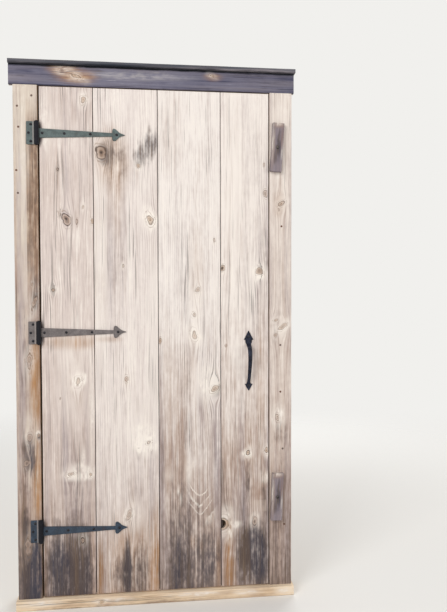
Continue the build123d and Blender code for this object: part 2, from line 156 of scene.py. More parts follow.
class IronSettings(bpy.types.PropertyGroup):
    """Sizes and colours of the ironwork."""

    upper_hinge: colour("Upper hinge", "Dulled black paint, gone grey-green", "#525C5B")
    middle_hinge: colour("Middle hinge", "Dulled black paint, gone brown-grey", "#66605F")
    lower_hinge: colour("Lower hinge", "Dulled black paint, kept blue-black by shade", "#323C48")
    handle_black: colour("Handle black", "Blackened iron, polished by hands", "#10131E")
    handle_worn: colour("Handle worn", "Where the black has dulled", "#2A2F40")
    # Painted highlight: the pale strip along each hinge plate's curl, beside the knuckle
    knuckle_highlight: colour("Rubbed iron", "Where the knuckle has rubbed the black off", "#B4AAA5")
    # Painted shade: the dark of each hinge knuckle's barrel
    grease: colour("Grease", "Old grease on the knuckle, full of dust", "#0B0B14")
    screw_black: colour("Screw black", "Blackened steel", "#1E1E24")
    screw_worn: colour("Screw worn", "Where the black has rubbed off", "#3B3A3E")
    rust: colour("Rust", "Rust bloom", "#6A4632")
    steel: colour("Steel", "Dull bare steel", "#6F6762")
    recess_width: length("Recess width", "Width of a screw's cross recess", 1.5)
    recess_depth: length("Recess depth", "Depth of a screw's cross recess", 1.4)


class StudioSettings(bpy.types.PropertyGroup):
    """The stage, its lights and the camera."""

    floor: colour("Floor", "Plain pale floor", "#ECEAE6")
    backdrop: colour("Backdrop", "Plain pale background", "#F1F0ED")
    field_of_view: angle("Field of view", "Across the frame's longer side", 50.0)
    camera_yaw: angle("Camera yaw", "Turn to the right of straight ahead", 7.155)
    camera_pitch: angle("Camera pitch", "Downward tilt", 1.861)
    camera_roll: angle("Camera roll", "Tilt about the line of sight", -0.138)
    camera_x: length("Camera X", "Camera's place along the door", -60.4)
    camera_distance: length("Camera distance", "Camera's distance from the casings", 2578.6)
    camera_height: length("Camera height", "Camera's height over the floor", 1245.5)
    key_power: power("Key power", "Large lamp, high on the hinge side", 110.0)
    fill_power: power("Fill power", "Large lamp on the latch side", 43.0)
    back_power: power("Back power", "Large lamp behind the door", 95.0)
    sky: FloatProperty(name="Sky", description="Strength of the even light", default=0.49)


# The weathering of each timber

# Features of one timber, in millimetres from the doorway's origin: across and along the grain.
# A knot has shares for its bark, its red wood and the bleaching round it, and a tilt in degrees.
# A print is what lay on the timber and kept it fresh, browned it or greyed it, and how its ends
# fade; the greyed prints at the line under the drip cap are painted shade. Ages are places along
# the grain with how grey the timber is there, up to two. A hidden edge lies against a neighbour,
# and a sheltered timber's back has kept its honey colour.
Knot = namedtuple("Knot", "across along width height dark red halo tilt", defaults=(0,))
Patch = namedtuple("Patch", "across along half_width half_height amount")
Check = namedtuple("Check", "across start end depth")
Print = namedtuple(
    "Print", "across along half_width half_height kept browned greyed fade", defaults=(0, 2.5)
)
Timber = namedtuple(
    "Timber", "ages knots stains warms pales prints checks hidden sheltered",
    defaults=((),) * 6 + ((False, False), True),
)

LEAF_TIMBERS = [
    Timber(
        ages=[
            (44, 1.3), (260, 1.0), (420, 0.65), (700, 0.3),
            (1000, 0.02), (1300, 0.02), (1900, 0.22),
        ],
        knots=[
            Knot(-273, 1949, 20, 28, 0.3, 0.7, 0.5),
            Knot(-371, 1684, 9, 16, 0.9, 0.2, 0.2),
            Knot(-342, 1500, 28, 52, 1.0, 0.3, 0.1, 22),
            Knot(-278, 1544, 10, 13, 0.35, 0.3, 0.5),
            Knot(-301, 1487, 7, 30, 0.9, 0.2, 0.1),
            Knot(-243, 1490, 14, 26, 0.3, 0.9, 0.2),
            Knot(-392, 1227, 19, 13, 0.6, 0.5, 0.5, 15),
            Knot(-302, 876, 26, 28, 0.2, 0.4, 1.0),
            Knot(-334, 516, 26, 16, 0.15, 0.2, 0.8, 12),
            Knot(-258, 512, 13, 17, 0.3, 0.9, 0.6, -20),
            Knot(-290, 257, 17, 22, 0.9, 0.2, 1.0),
            Knot(-370, 812, 7, 9, 0.8, 0.2, 0.1),
        ],
        stains=[
            Patch(-345, 80, 85, 250, 0.95),
            Patch(-392, 170, 42, 150, 0.6),
            Patch(-275, 100, 45, 210, 0.75),
            Patch(-428, 80, 12, 200, 0.35),
            Patch(-395, 300, 30, 150, 0.25),
            # These three patches are painted shadow, cast by the hinge knuckles onto the board
            Patch(-437, 1818, 13, 52, 1.0),
            Patch(-437, 1064, 13, 52, 1.0),
            Patch(-437, 301, 13, 52, 1.0),
            Patch(-405, 1010, 18, 34, 0.25),
            Patch(-320, 420, 80, 220, 0.12),
        ],
        warms=[
            Patch(-432, 120, 10, 250, 0.6),
            Patch(-350, 170, 5, 130, 0.7),
            Patch(-255, 120, 14, 200, 0.4),
            Patch(-320, 1026, 130, 30, 0.6),
            Patch(-405, 1640, 50, 180, 0.12),
        ],
        pales=[
            Patch(-415, 1850, 30, 140, 0.6),
            Patch(-292, 528, 68, 34, 0.65),
            Patch(-286, 570, 12, 64, 0.6),
            Patch(-300, 508, 74, 22, 0.7),
            Patch(-250, 760, 16, 260, 0.5),
            Patch(-330, 900, 60, 200, 0.3),
        ],
        checks=[
            Check(-318, 1740, 1830, 0.8),
            Check(-322, 1100, 1440, 1.2),
            Check(-306, 1130, 1250, 1.6),
            Check(-318, 640, 840, 0.9),
        ],
        hidden=(True, True),
    ),
    Timber(
        ages=[(44, 0.75), (200, 0.5), (450, 0.25), (700, 0.02), (1100, 0.0)],
        knots=[
            Knot(-208, 1752, 38, 50, 1.0, 0.4, 0.2, 32),
            Knot(-68, 1703, 13, 20, 0.5, 0.7, 0.6, 20),
            Knot(-24, 1497, 26, 40, 0.3, 0.9, 0.9, 12),
            Knot(-128, 1319, 9, 11, 0.6, 0.3, 0.6),
            Knot(-34, 632, 18, 15, 0.4, 0.2, 1.0, 15),
            Knot(-74, 610, 8, 6, 0.7, 0.2, 0.5),
            Knot(-24, 600, 7, 6, 0.6, 0.2, 0.5),
            Knot(-112, 347, 20, 30, 0.3, 0.2, 0.9, -15),
            Knot(-118, 880, 14, 30, 0.1, 0.3, 0.3),
        ],
        stains=[
            Patch(-120, 100, 20, 150, 0.95),
            Patch(-150, 110, 36, 120, 0.5),
            Patch(-72, 110, 46, 150, 0.6),
            Patch(-118, 150, 14, 120, 0.8),
            Patch(-68, 1732, 28, 44, 0.46),
            Patch(-44, 1764, 40, 60, 0.4),
            Patch(-16, 1798, 38, 66, 0.42),
            Patch(-34, 1770, 64, 100, 0.16),
            Patch(-206, 1748, 26, 44, 0.5),
            Patch(-178, 1742, 44, 60, 0.4),
            Patch(-158, 1700, 60, 120, 0.28),
            Patch(-150, 1330, 60, 130, 0.1),
            Patch(-120, 820, 26, 160, 0.12),
            Patch(-96, 600, 16, 60, 0.14),
            Patch(-20, 585, 16, 30, 0.16),
        ],
        warms=[
            Patch(-172, 1725, 72, 120, 0.6),
            Patch(-158, 1620, 40, 190, 0.26),
            Patch(-6, 170, 26, 220, 0.8),
            Patch(-110, 150, 140, 220, 0.5),
            Patch(-225, 120, 16, 180, 0.6),
            Patch(-185, 1036, 60, 13, 0.4),
        ],
        pales=[
            Patch(-215, 1300, 30, 500, 0.4),
            Patch(-10, 1100, 24, 420, 0.4),
            Patch(-50, 642, 54, 66, 1.0),
            Patch(-46, 640, 62, 62, 0.9),
            Patch(-60, 700, 44, 110, 0.4),
            Patch(-90, 350, 40, 70, 0.5),
        ],
        prints=[
            Print(-176, 1370, 62, 230, 0, 0, 0.32, 140),
            Print(-60, 420, 60, 100, 0, 0, 0.2, 90),
        ],
        checks=[Check(-128, 1130, 1310, 0.9), Check(-100, 380, 560, 0.8)],
        hidden=(True, True),
    ),
    Timber(
        ages=[
            (44, 1.5), (250, 1.25), (400, 1.0), (560, 0.67),
            (830, 0.24), (1100, 0.05), (1993, 0.02),
        ],
        knots=[
            Knot(160, 1226, 18, 20, 0.4, 0.3, 0.3),
            Knot(145, 1128, 14, 22, 0.25, 0.2, 0.3),
            Knot(146, 1048, 24, 36, 0.3, 0.5, 0.8),
            Knot(226, 836, 40, 18, 0.3, 0.6, 1.0, 28),
            Knot(12, 1028, 12, 24, 0.35, 0.7, 0.3),
            Knot(225, 1420, 8, 16, 0.4, 0.2, 0.2),
        ],
        stains=[
            Patch(128, 80, 150, 240, 0.56),
            Patch(80, 150, 55, 200, 0.4),
            Patch(200, 150, 46, 170, 0.4),
            Patch(100, 350, 90, 180, 0.3),
            Patch(120, 880, 24, 120, 0.14),
        ],
        warms=[
            Patch(150, 1290, 34, 180, 0.16),
            Patch(130, 900, 40, 150, 0.16),
            Patch(238, 130, 12, 120, 0.5),
            Patch(135, 230, 12, 34, 0.5),
            Patch(60, 1850, 50, 180, 0.1),
            Patch(170, 210, 8, 26, 0.5),
        ],
        pales=[
            Patch(200, 860, 50, 90, 0.8),
            Patch(122, 512, 18, 70, 0.5),
            Patch(141, 540, 5, 22, 0.8),
            Patch(45, 500, 26, 30, 0.3),
            Patch(80, 438, 5, 20, 0.9),
            Patch(90, 400, 6, 28, 0.7),
        ],
        prints=[
            Print(62, 740, 54, 300, 0, 0.08, 0.3, 150),
            Print(176, 1560, 30, 260, 0, 0, 0.12, 160),
        ],
        checks=[
            Check(185, 1150, 1410, 1.3),
            Check(166, 960, 1050, 1.3),
            Check(128, 1160, 1250, 0.9),
            Check(134, 760, 900, 0.9),
            Check(170, 1590, 1720, 0.7),
        ],
        hidden=(True, True),
    ),
    Timber(
        ages=[
            (44, 1.0), (300, 1.1), (560, 0.95), (700, 0.65),
            (830, 0.4), (1150, 0.16), (1993, 0.0),
        ],
        knots=[
            Knot(256, 1310, 18, 24, 0.95, 0.9, 0.3),
            Knot(404, 1298, 23, 34, 0.4, 0.6, 1.0, 15),
            Knot(428, 1603, 16, 26, 0.5, 0.2, 0.3),
            Knot(423, 1716, 9, 14, 0.4, 0.3, 0.4),
            Knot(357, 575, 17, 22, 1.0, 1.0, 0.9),
            Knot(432, 582, 14, 30, 0.95, 1.0, 0.5),
            Knot(384, 298, 17, 28, 0.7, 0.2, 0.7, -10),
            Knot(252, 295, 50, 46, 0.7, 0.7, 0.7),
            Knot(270, 1005, 8, 12, 0.3, 0.3, 0.3),
        ],
        stains=[
            Patch(375, 200, 75, 120, 0.95),
            Patch(400, 130, 60, 150, 0.8),
            Patch(335, 90, 40, 120, 0.45),
            Patch(362, 460, 18, 120, 0.45),
            Patch(430, 1330, 12, 60, 0.25),
            Patch(400, 1620, 34, 70, 0.12),
            Patch(402, 1080, 30, 90, 0.12),
            Patch(420, 400, 18, 80, 0.3),
        ],
        warms=[
            Patch(284, 120, 26, 190, 0.8),
            Patch(276, 288, 18, 26, 0.7),
            Patch(428, 472, 20, 40, 0.35),
            Patch(345, 130, 5, 120, 0.6),
            Patch(398, 860, 34, 280, 0.2),
            Patch(340, 560, 80, 140, 0.15),
            Patch(402, 420, 30, 60, 0.25),
        ],
        pales=[
            Patch(284, 256, 20, 46, 0.7),
            Patch(312, 290, 26, 20, 0.7),
            Patch(388, 1300, 34, 70, 0.7),
            Patch(300, 1650, 45, 350, 0.3),
            Patch(384, 300, 26, 34, 0.6),
            Patch(425, 476, 24, 34, 0.6),
        ],
        prints=[
            Print(407, 362, 29, 22, 0.32, 0.2, 0, 5),
            Print(420, 1150, 24, 330, 0, 0, 0.25, 200),
        ],
        checks=[
            Check(372, 1340, 1430, 0.9),
            Check(300, 760, 900, 0.6),
            Check(356, 110, 250, 1.0),
        ],
        hidden=(True, True),
    ),
]
LEFT_CASING = Timber(
    ages=[
        (38, 1.8), (300, 1.5), (500, 1.0), (830, 0.9),
        (1250, 0.85), (1420, 0.4), (1998, 0.15),
    ],
    knots=[
        Knot(-486, 664, 20, 30, 0.3, 0.1, 0.35, 12),
        Knot(-498, 566, 18, 30, 0.6, 0.1, 0.25, -20),
        Knot(-452, 672, 12, 15, 0.9, 0.3, 0.6),
        Knot(-461, 1185, 14, 50, 0.6, 0.3, 0.5, -15),
        Knot(-484, 960, 20, 60, 0.3, 0.1, 0.4),
        Knot(-497, 250, 20, 70, 0.4, 0.1, 0.4),
        Knot(-470, 1250, 9, 12, 0.6, 0.3, 0.4),
        Knot(-462, 1845, 6, 8, 0.9, 0.3, 0.1),
    ],
    stains=[
        Patch(-490, 100, 66, 230, 0.84),
        Patch(-462, 150, 22, 200, 0.84),
        Patch(-506, 330, 16, 70, 0.7),
        Patch(-500, 430, 40, 130, 0.3),
        Patch(-492, 612, 30, 66, 0.55),
        Patch(-482, 560, 24, 50, 0.4),
        Patch(-488, 590, 36, 110, 0.25),
        Patch(-452, 664, 9, 16, 0.84),
        Patch(-488, 930, 24, 160, 0.25),
        Patch(-458, 1210, 20, 100, 0.5),
        Patch(-500, 1120, 14, 60, 0.3),
    ],
    warms=[
        Patch(-462, 900, 24, 220, 1.0),
        Patch(-460, 480, 20, 170, 0.95),
        Patch(-456, 860, 14, 260, 0.6),
        Patch(-530, 1300, 8, 560, 0.3),
        Patch(-450, 130, 16, 110, 0.5),
        Patch(-500, 250, 30, 200, 0.4),
        Patch(-512, 400, 16, 240, 0.35),
    ],
    pales=[
        Patch(-485, 1250, 30, 200, 0.25),
        Patch(-480, 700, 36, 60, 0.35),
        Patch(-495, 1700, 26, 200, 0.3),
    ],
    prints=[Print(-466, 1530, 21, 330, 0, 0.92, 0, 150)],
    checks=[
        Check(-493, 1090, 1300, 1.0),
        Check(-478, 1120, 1190, 1.2),
        Check(-496, 830, 1000, 1.0),
    ],
    hidden=(False, True),
)
RIGHT_CASING = Timber(
    ages=[
        (38, 1.7), (300, 1.3), (600, 0.62), (900, 0.46),
        (1300, 0.33), (1700, 0.18), (1998, 0.1),
    ],
    knots=[
        Knot(492, 1565, 28, 16, 0.5, 0.4, 0.4, 20),
        Knot(496, 1075, 34, 18, 0.4, 0.4, 0.7, 35),
        Knot(470, 1103, 22, 12, 0.4, 0.5, 0.4, 30),
        Knot(477, 716, 15, 22, 0.25, 0.1, 1.0, 20),
        Knot(470, 1045, 12, 16, 0.4, 0.2, 0.3),
        Knot(483, 1540, 7, 10, 0.5, 0.2, 0.2),
    ],
    stains=[
        Patch(490, 655, 40, 70, 0.25),
        Patch(490, 150, 60, 260, 0.25),
        Patch(466, 1040, 18, 50, 0.25),
    ],
    warms=[Patch(490, 450, 60, 560, 0.12), Patch(480, 1560, 24, 60, 0.25)],
    pales=[Patch(480, 718, 34, 60, 0.9), Patch(480, 1840, 40, 120, 0.3)],
    prints=[Print(471, 399.5, 23, 95, 0.5, 0)],
    checks=[Check(500, 560, 640, 0.8), Check(505, 1180, 1330, 0.7)],
    hidden=(True, False),
)
HEAD_BOARD = Timber(
    ages=[(-549, 0.8), (-330, 0.5), (-100, 0.35), (150, 0.6), (542, 0.95)],
    knots=[
        Knot(2036, -300, 15, 40, 0.4, 0.8, 0.4, 25),
        Knot(2054, -352, 12, 20, 0.3, 0.3, 0.5),
        Knot(2056, 218, 10, 18, 0.4, 0.7, 0.25, 15),
    ],
    stains=[Patch(2058, -215, 12, 40, 0.4), Patch(2030, -380, 14, 50, 0.3)],
    warms=[
        Patch(2036, -300, 30, 80, 1.0),
        Patch(2056, -350, 20, 60, 0.8),
        Patch(2050, 222, 16, 40, 0.5),
    ],
    pales=[
        Patch(2058, -345, 22, 44, 0.5),
        Patch(2034, -300, 20, 40, 0.5),
        Patch(2056, 218, 9, 14, 0.5),
        Patch(2044, -60, 18, 230, 0.22),
    ],
    # The upper print is painted shade along the head board's top, under the drip cap; the lower one
    # greys its bottom edge
    prints=[Print(2077, 0, 9, 1200, 0, 0, 1.3), Print(1996, 0, 6, 1200, 0, 0, 0.5)],
)
DRIP_CAP = Timber(
    ages=[(-549, 0.55), (-100, 0.7), (542, 0.6)],
    # This print is painted shade along the drip cap's lower edge
    prints=[Print(2072, 0, 6, 1200, 0, 0, 0.9)],
    sheltered=False,
)
SILL = Timber(
    ages=[(-540, 0.22), (540, 0.05)],
    knots=[Knot(18, -220, 12, 20, 0.3, 0.6, 0.2)],
    stains=[Patch(4, -200, 6, 400, 0.25), Patch(10, 60, 8, 160, 0.2)],
    warms=[
        Patch(8, 100, 20, 300, 0.3),
        Patch(20, 420, 30, 90, 0.3),
        Patch(14, -330, 24, 110, 0.35),
        Patch(30, -90, 10, 120, 0.3),
        Patch(26, 260, 10, 60, 0.35),
    ],
    pales=[
        Patch(26, -450, 14, 90, 0.7),
        Patch(22, -180, 12, 90, 0.7),
        Patch(28, 150, 10, 120, 0.7),
        Patch(24, 350, 12, 60, 0.6),
        Patch(20, 500, 16, 40, 0.6),
    ],
)
# A button's places are measured from its own middle, before it is turned
TURN_BUTTON = Timber(
    ages=[(-95, 0.35), (0, 0.8), (95, 0.5)],
    stains=[
        Patch(2, 10, 10, 50, 0.8),
        Patch(-7, -42, 8, 34, 0.55),
        Patch(9, -12, 6, 40, 0.5),
        Patch(5, 66, 7, 22, 0.5),
    ],
    warms=[
        Patch(-17, 0, 8, 95, 0.35),
        Patch(0, 88, 26, 14, 0.5),
        Patch(17, 30, 7, 60, 0.25),
    ],
    pales=[
        Patch(-19, 20, 7, 80, 0.4),
        Patch(19, -30, 6, 60, 0.3),
        Patch(0, 92, 24, 12, 0.5),
    ],
    sheltered=False,
)
# The hole of a lost knot at the fourth board's left edge
KNOT_HOLE = Knot(251, 295, 18, 36, 1.0, 0.5, 0.5)
# Pale nested points low on the third board: where they lie, the height of each, how steeply
# their arms rise and how round they are
CATHEDRAL = Patch(166, 385, 64, 105, 0.85)
CATHEDRAL_LINES = (262.0, 324.0, 350.0, 398.0, 429.0)
CATHEDRAL_SLOPE = 2.1
CATHEDRAL_BEND = 26.0

# Named measures

# How weather and knots reach on a timber, in millimetres
FACE_DEPTH = 3.0
EDGE_REACH = 14.0
CHECK_WIDTH = 2.4
CHECK_TAPER = 60.0
PRINT_EDGE = 2.0
SEAM_REACH = 1.5
# The same in radii of a knot
BEND_REACH = 7.0
BEND_STRETCH = 2.6
SWIRL_REACH = 3.4
HALO_REACH = 3.8
FAR_FROM_KNOTS = 4.0
# The same as shares of a patch: where it starts to fade and is gone, and how far it wavers
PATCH_FADE = (0.15, 1.35)
PATCH_DRIFT = 0.125
# The darkest stain that weather leaves, and the darkness of a seam's sides, which is painted shade
# with dirt
WEATHER_STAIN = 0.84
SEAM_SHADE_AND_DIRT = 0.97
# Waves that make an uneven line: height, length in millimetres and turn for each seed
RIPPLES = ((1.0, 67.0, 1.0), (0.6, 23.0, 2.3), (0.4, 9.5, 4.1))
# A screw's head height, shank radius and cross reach, as shares of its head's radius
HEAD_HEIGHT = 0.52
SHANK_RADIUS = 0.5
CROSS_REACH = 0.36
# Rise and narrowing of the head at each step from its rim, and fall and narrowing of the neck,
# the shank and its point, as shares of the height or length and of the width before
HEAD_STEPS = ((0.3, 0.97), (0.3, 0.85), (0.25, 0.72), (0.15, 0.82))
SHANK_STEPS = ((0, SHANK_RADIUS), (0.85, 1), (0.15, 0.15))
# A mesh is shaded sharp where it bends more than this
TIMBER_CREASE = math.radians(40)
SCREW_CREASE = math.radians(50)
# Offsets in millimetres from a hinge pin's middle: where a painted highlight lies along the plate's
# curl, and where painted shade lies on the knuckle
HIGHLIGHT_BAND = (-17, -15, -12, -10)
KNUCKLE_SHADE_BAND = (-11, -9, 7, 10)
# The floor's radius, and where it starts to fade and is gone, in metres
FLOOR_RADIUS = 6.0
FLOOR_FADE = (1.6, 4.5)
# An attribute's kind and slot for the shape of its values at a point
ATTRIBUTE_KINDS = {
    (): ("FLOAT", "value"), (3,): ("FLOAT_VECTOR", "vector"), (4,): ("FLOAT_COLOR", "color")
}

# A hinge knuckle: its pin's place across, the painted highlight's colour and the painted shade's
# colour
Knuckle = namedtuple("Knuckle", "x rubbed grease")
PineGrain = namedtuple("PineGrain", "fibre streak band mottle texture late hair")


# Where the weather lies on a timber

def smooth_share(value, low, high):
    """How far a value has gone from low to high, eased at both ends."""
    share = np.clip((value - low) / (high - low), 0.0, 1.0)
    return share * share * (3 - 2 * share)


def ripple(along, seed):
    """A slow uneven wave along a timber, from about -1 to 1."""
    return sum(high * np.sin(along / span + turn * seed) for high, span, turn in RIPPLES) / 2.0


def painted(patches, across, along, seed):
    """The soft-edged patches of one kind of weathering, laid over each other."""
    bare = np.ones_like(across)
    drift = PATCH_DRIFT * ripple(along / 1.7, seed)
    for patch in patches:
        reach = np.hypot(
            (across - patch.across) / patch.half_width + drift,
            (along - patch.along) / patch.half_height,
        )
        bare *= 1 - patch.amount * (1 - smooth_share(reach, *PATCH_FADE))
    return 1 - bare


def printed(prints, across, along, effect):
    """The sharp-edged prints of what has lain on a timber, for one of their effects."""
    total = np.zeros_like(across)
    wander = 1.5 * ripple(along, len(prints))
    for each in prints:
        share = getattr(each, effect)
        for off, half, fade in (
            (across + wander - each.across, each.half_width, PRINT_EDGE),
            (along - each.along, each.half_height, each.fade),
        ):
            share = share * smooth_share(np.abs(off), half + fade, half - fade)
        total = np.maximum(total, share)
    return total


# Shaping a piece

def as_mesh(name, shape):
    """A mesh made from a bmesh, which is then freed."""
    mesh = bpy.data.meshes.new(name)
    shape.to_mesh(mesh)
    shape.free()
    return mesh


def placed(name, data):
    """An object in the scene that shows a mesh, a lamp or a camera."""
    thing = bpy.data.objects.new(name, data)
    bpy.context.scene.collection.objects.link(thing)
    return thing


def drawn_out(shape, faces, rise, share=1.0, keep=False):
    """Extrude faces along Z and scale the new ones, which are given back."""
    grown = bmesh.ops.extrude_face_region(shape, geom=faces)["geom"]
    if not keep:
        bmesh.ops.delete(shape, geom=faces, context="FACES")
    verts = [item for item in grown if isinstance(item, bmesh.types.BMVert)]
    bmesh.ops.translate(shape, verts=verts, vec=(0, 0, rise))
    bmesh.ops.scale(shape, verts=verts, vec=(share, share, 1))
    return [item for item in grown if isinstance(item, bmesh.types.BMFace)]


def cut_through(shape, parts, place, direction, reach):
    """Cut a bmesh along a plane, and leave vertices within a short reach of it where they are."""
    bmesh.ops.bisect_plane(shape, geom=parts, plane_co=place, plane_no=direction, dist=reach)


def sawn_blank(outline, start, end, settings, ease_all=False, ease_ends=False):
    """A bar along Z with this outline, its arrises rounded, cut into columns and rows."""
    blank = bmesh.new()
    cap = blank.faces.new([blank.verts.new((across, depth, start)) for across, depth in outline])
    drawn_out(blank, [cap], end - start, keep=True)
    front = min(depth for across, depth in outline)
    worn = [
        edge
        for edge in blank.edges
        if (runs_along(edge) or ease_ends)
        and (ease_all or all(vert.co.y < front + MM for vert in edge.verts))
    ]
    bmesh.ops.bevel(
        blank, geom=worn, offset=settings.arris, offset_type="OFFSET", segments=3,
        profile=0.5, affect="EDGES", material=-1,
    )
    left = min(across for across, depth in outline)
    right = max(across for across, depth in outline)
    columns = round((right - left) / settings.column)
    for column in range(1, columns):
        everything = blank.verts[:] + blank.edges[:] + blank.faces[:]
        place = (left + (right - left) * column / columns, 0, 0)
        cut_through(blank, everything, place, (1, 0, 0), 1e-6)
    long_edges = [edge for edge in blank.edges if edge.calc_length() > (end - start) / 2]
    rows = round((end - start) / settings.row)
    bmesh.ops.subdivide_edges(blank, edges=long_edges, cuts=rows - 1)
    bmesh.ops.recalc_face_normals(blank, faces=blank.faces)
    return blank


def runs_along(edge):
    """Whether an edge of a blank runs along the grain."""
    return abs(edge.verts[0].co.z - edge.verts[1].co.z) > MM


def cut_knot_hole(blank, hole):
    """Open the hole that a lost knot has left at a board's left edge."""
    steps = 12
    for step in range(steps + 1):
        rise = hole.height / 2 * math.sin(math.pi * (step / steps - 0.5))
        everything = blank.verts[:] + blank.edges[:] + blank.faces[:]
        cut_through(blank, everything, (0, 0, (hole.along + rise) * MM), (0, 0, 1), 1e-5)
    for vert in blank.verts:
        share = (vert.co.z / MM - hole.along) / (hole.height / 2)
        if abs(share) < 1:
            edge = (hole.across + hole.width * math.sqrt(1 - share * share)) * MM
            vert.co.x = max(vert.co.x, edge)
    bmesh.ops.remove_doubles(blank, verts=blank.verts, dist=0.2 * MM)


def bent_round_knots(across, along, timber, seed):
    """Where the grain runs round the knots, and at each point the nearest knot and its traces."""
    flow = across.copy()
    rim = np.full_like(across, FAR_FROM_KNOTS)
    dark, red, halo, swirl = (np.zeros_like(across) for each in range(4))
    for number, knot in enumerate(timber.knots):
        tilt = math.radians(knot.tilt)
        off, up = across - knot.across, along - knot.along
        aside = off * math.cos(tilt) + up * math.sin(tilt)
        above = up * math.cos(tilt) - off * math.sin(tilt)
        radius = knot.width / 2
        angle = np.arctan2(above, aside)
        lumps = 1 + 0.13 * np.sin(2 * angle + 1.7 * number) + 0.09 * np.sin(3 * angle + seed)
        reach = np.hypot(aside, above * knot.width / knot.height) / (radius * lumps)
        bend = np.hypot(off, up / BEND_STRETCH) / radius
        flow -= off / np.maximum(bend, 1.0) ** 2 * np.exp(-((bend / BEND_REACH) ** 2))
        swirl = np.maximum(swirl, np.exp(-((bend / SWIRL_REACH) ** 2)))
        nearest = reach < rim
        rim = np.where(nearest, reach, rim)
        dark = np.where(nearest, knot.dark, dark)
        red = np.where(nearest, knot.red, red)
        halo = np.maximum(halo, knot.halo * (1 - smooth_share(reach, 1.0, HALO_REACH)))
    return flow + 1.6 * ripple(along / 2.5, seed), rim, dark, red, halo, swirl


def weathered_fields(points, timber, pith, face, back, seed):
    """Grain, rings, knots and weathering at each point of a timber, in metres and shares."""
    across, depth, along = points.T
    left, right, front = face
    flow, rim, dark, red, halo, swirl = bent_round_knots(across, along, timber, seed)
    # The pith wanders behind the face, so the rings open and close along the timber
    pith_depth = 50 + 30 * np.sin(along / 700 + 1.3 * seed)
    ring = np.hypot(flow - pith, depth - front + pith_depth)
    open_air = 1 - timber.sheltered * smooth_share(depth, front + 0.35 * (back - front), back)
    # The sides of a board beside a hidden edge, down in the seam, are darkened with painted shade
    # and dirt
    seam = np.zeros_like(across)
    for is_hidden, inset in zip(timber.hidden, (across - left, right - across)):
        if is_hidden:
            seam = np.maximum(seam, inset < SEAM_REACH)
    seam *= smooth_share(depth, front + 1.2, front + 5)
    seam *= 1 - smooth_share(depth, back - 2, back)
    kept, browned, greyed = (
        printed(timber.prints, across, along, effect) for effect in ("kept", "browned", "greyed")
    )
    stain, warm, pale = (
        painted(patches, across, along, seed + number)
        for number, patches in enumerate((timber.stains, timber.warms, timber.pales))
    )
    stain = np.minimum(stain, WEATHER_STAIN) * open_air * (1 - kept)
    stain = np.maximum.reduce([stain, 0.3 * browned, SEAM_SHADE_AND_DIRT * seam])
    warm = np.maximum.reduce([warm, 0.5 * kept, 0.75 * browned])
    pale = np.maximum.reduce([pale, halo, 0.5 * kept]) * open_air
    age = np.interp(along, *zip(*timber.ages)) * (1 - 0.5 * kept) + greyed
    # An age below zero means shelter, which turns the timber honey coloured
    age = age * open_air + open_air - 1
    still = np.zeros_like(across)
    return {
        "grain": np.stack([flow * MM, depth * MM, along * MM], 1),
        "ring": ring * MM,
        "knot": np.stack([rim, dark, red], 1),
        "weather": np.stack([stain, warm, pale, age], 1),
        "figure": np.stack([still, still, swirl], 1),
    }


def weathered_moves(points, timber, front, left, right, settings, seed):
    """How far the weather has moved each point of a timber's face, in millimetres."""
    across, depth, along = points.T
    # Knots are hard, so the weather takes less off them than off the wood between
    worn = 0.55 + 0.25 * ripple(along + 3 * across, seed) + 0.2 * ripple(along / 3, seed + 1)
    for knot in timber.knots:
        reach = np.hypot(across - knot.across, (along - knot.along) * knot.width / knot.height)
        worn -= 0.6 * np.exp(-((reach / (0.75 * knot.width)) ** 2))
    inward = settings.relief / MM * np.clip(worn, 0.05, 1.2)
    for check in timber.checks:
        line = check.across + 2.2 * ripple(along / 2, check.across)
        taper = smooth_share(along, check.start, check.start + CHECK_TAPER)
        taper *= 1 - smooth_share(along, check.end - CHECK_TAPER, check.end)
        inward += check.depth * taper * np.exp(-(((across - line) / CHECK_WIDTH) ** 2))
    sideways = np.zeros_like(along)
    for edge, way, wave in ((left, 1, seed + 2), (right, -1, seed + 5)):
        near = np.clip(1 - np.abs(across - edge) / EDGE_REACH, 0, 1)
        sideways += way * near * settings.wander / MM * (0.5 + 0.5 * ripple(along, wave))
    on_face = depth < front + FACE_DEPTH
    return np.stack([sideways * on_face, inward * on_face, np.zeros_like(along)], 1)


def dress_timber(name, blank, timber, material, settings, turned, seed, extra=None, place=None):
    """Turn a blank into a weathered piece: its moves, its grain attributes and its place."""
    mesh = as_mesh(name, blank)
    flat = np.zeros(len(mesh.vertices) * 3)
    mesh.vertices.foreach_get("co", flat)
    points = flat.reshape(-1, 3) / MM
    left, front = points[:, 0].min(), points[:, 1].min()
    back = points[:, 1].max()
    right = points[points[:, 1] < front + FACE_DEPTH, 0].max()
    pith = (left + right) / 2 + (right - left) * 0.2 * math.sin(seed)
    fields = weathered_fields(points, timber, pith, (left, right, front), back, seed)
    if extra:
        extra(points, fields)
    moved = points + weathered_moves(points, timber, front, left, right, settings, seed)
    mesh.vertices.foreach_set("co", (moved * MM).ravel())
    for field, values in fields.items():
        kind, slot = ATTRIBUTE_KINDS[values.shape[1:]]
        attribute = mesh.attributes.new(field, kind, "POINT")
        attribute.data.foreach_set(slot, values.astype(np.float32).ravel())
    if turned:
        mesh.transform(Matrix(((0, 0, 1, 0), (0, 1, 0, 0), (1, 0, 0, 0), (0, 0, 0, 1))))
        mesh.flip_normals()
    if place:
        mesh.transform(place)
    mesh.shade_smooth()
    mesh.set_sharp_from_angle(angle=TIMBER_CREASE)
    mesh.materials.append(material)
    return placed(name, mesh)


def stands_for(piece, body, slot, *nodes):
    """A piece rides on a body and replaces the CAD nodes. The finish slot is not used."""
    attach(piece, body)
    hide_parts(*nodes)


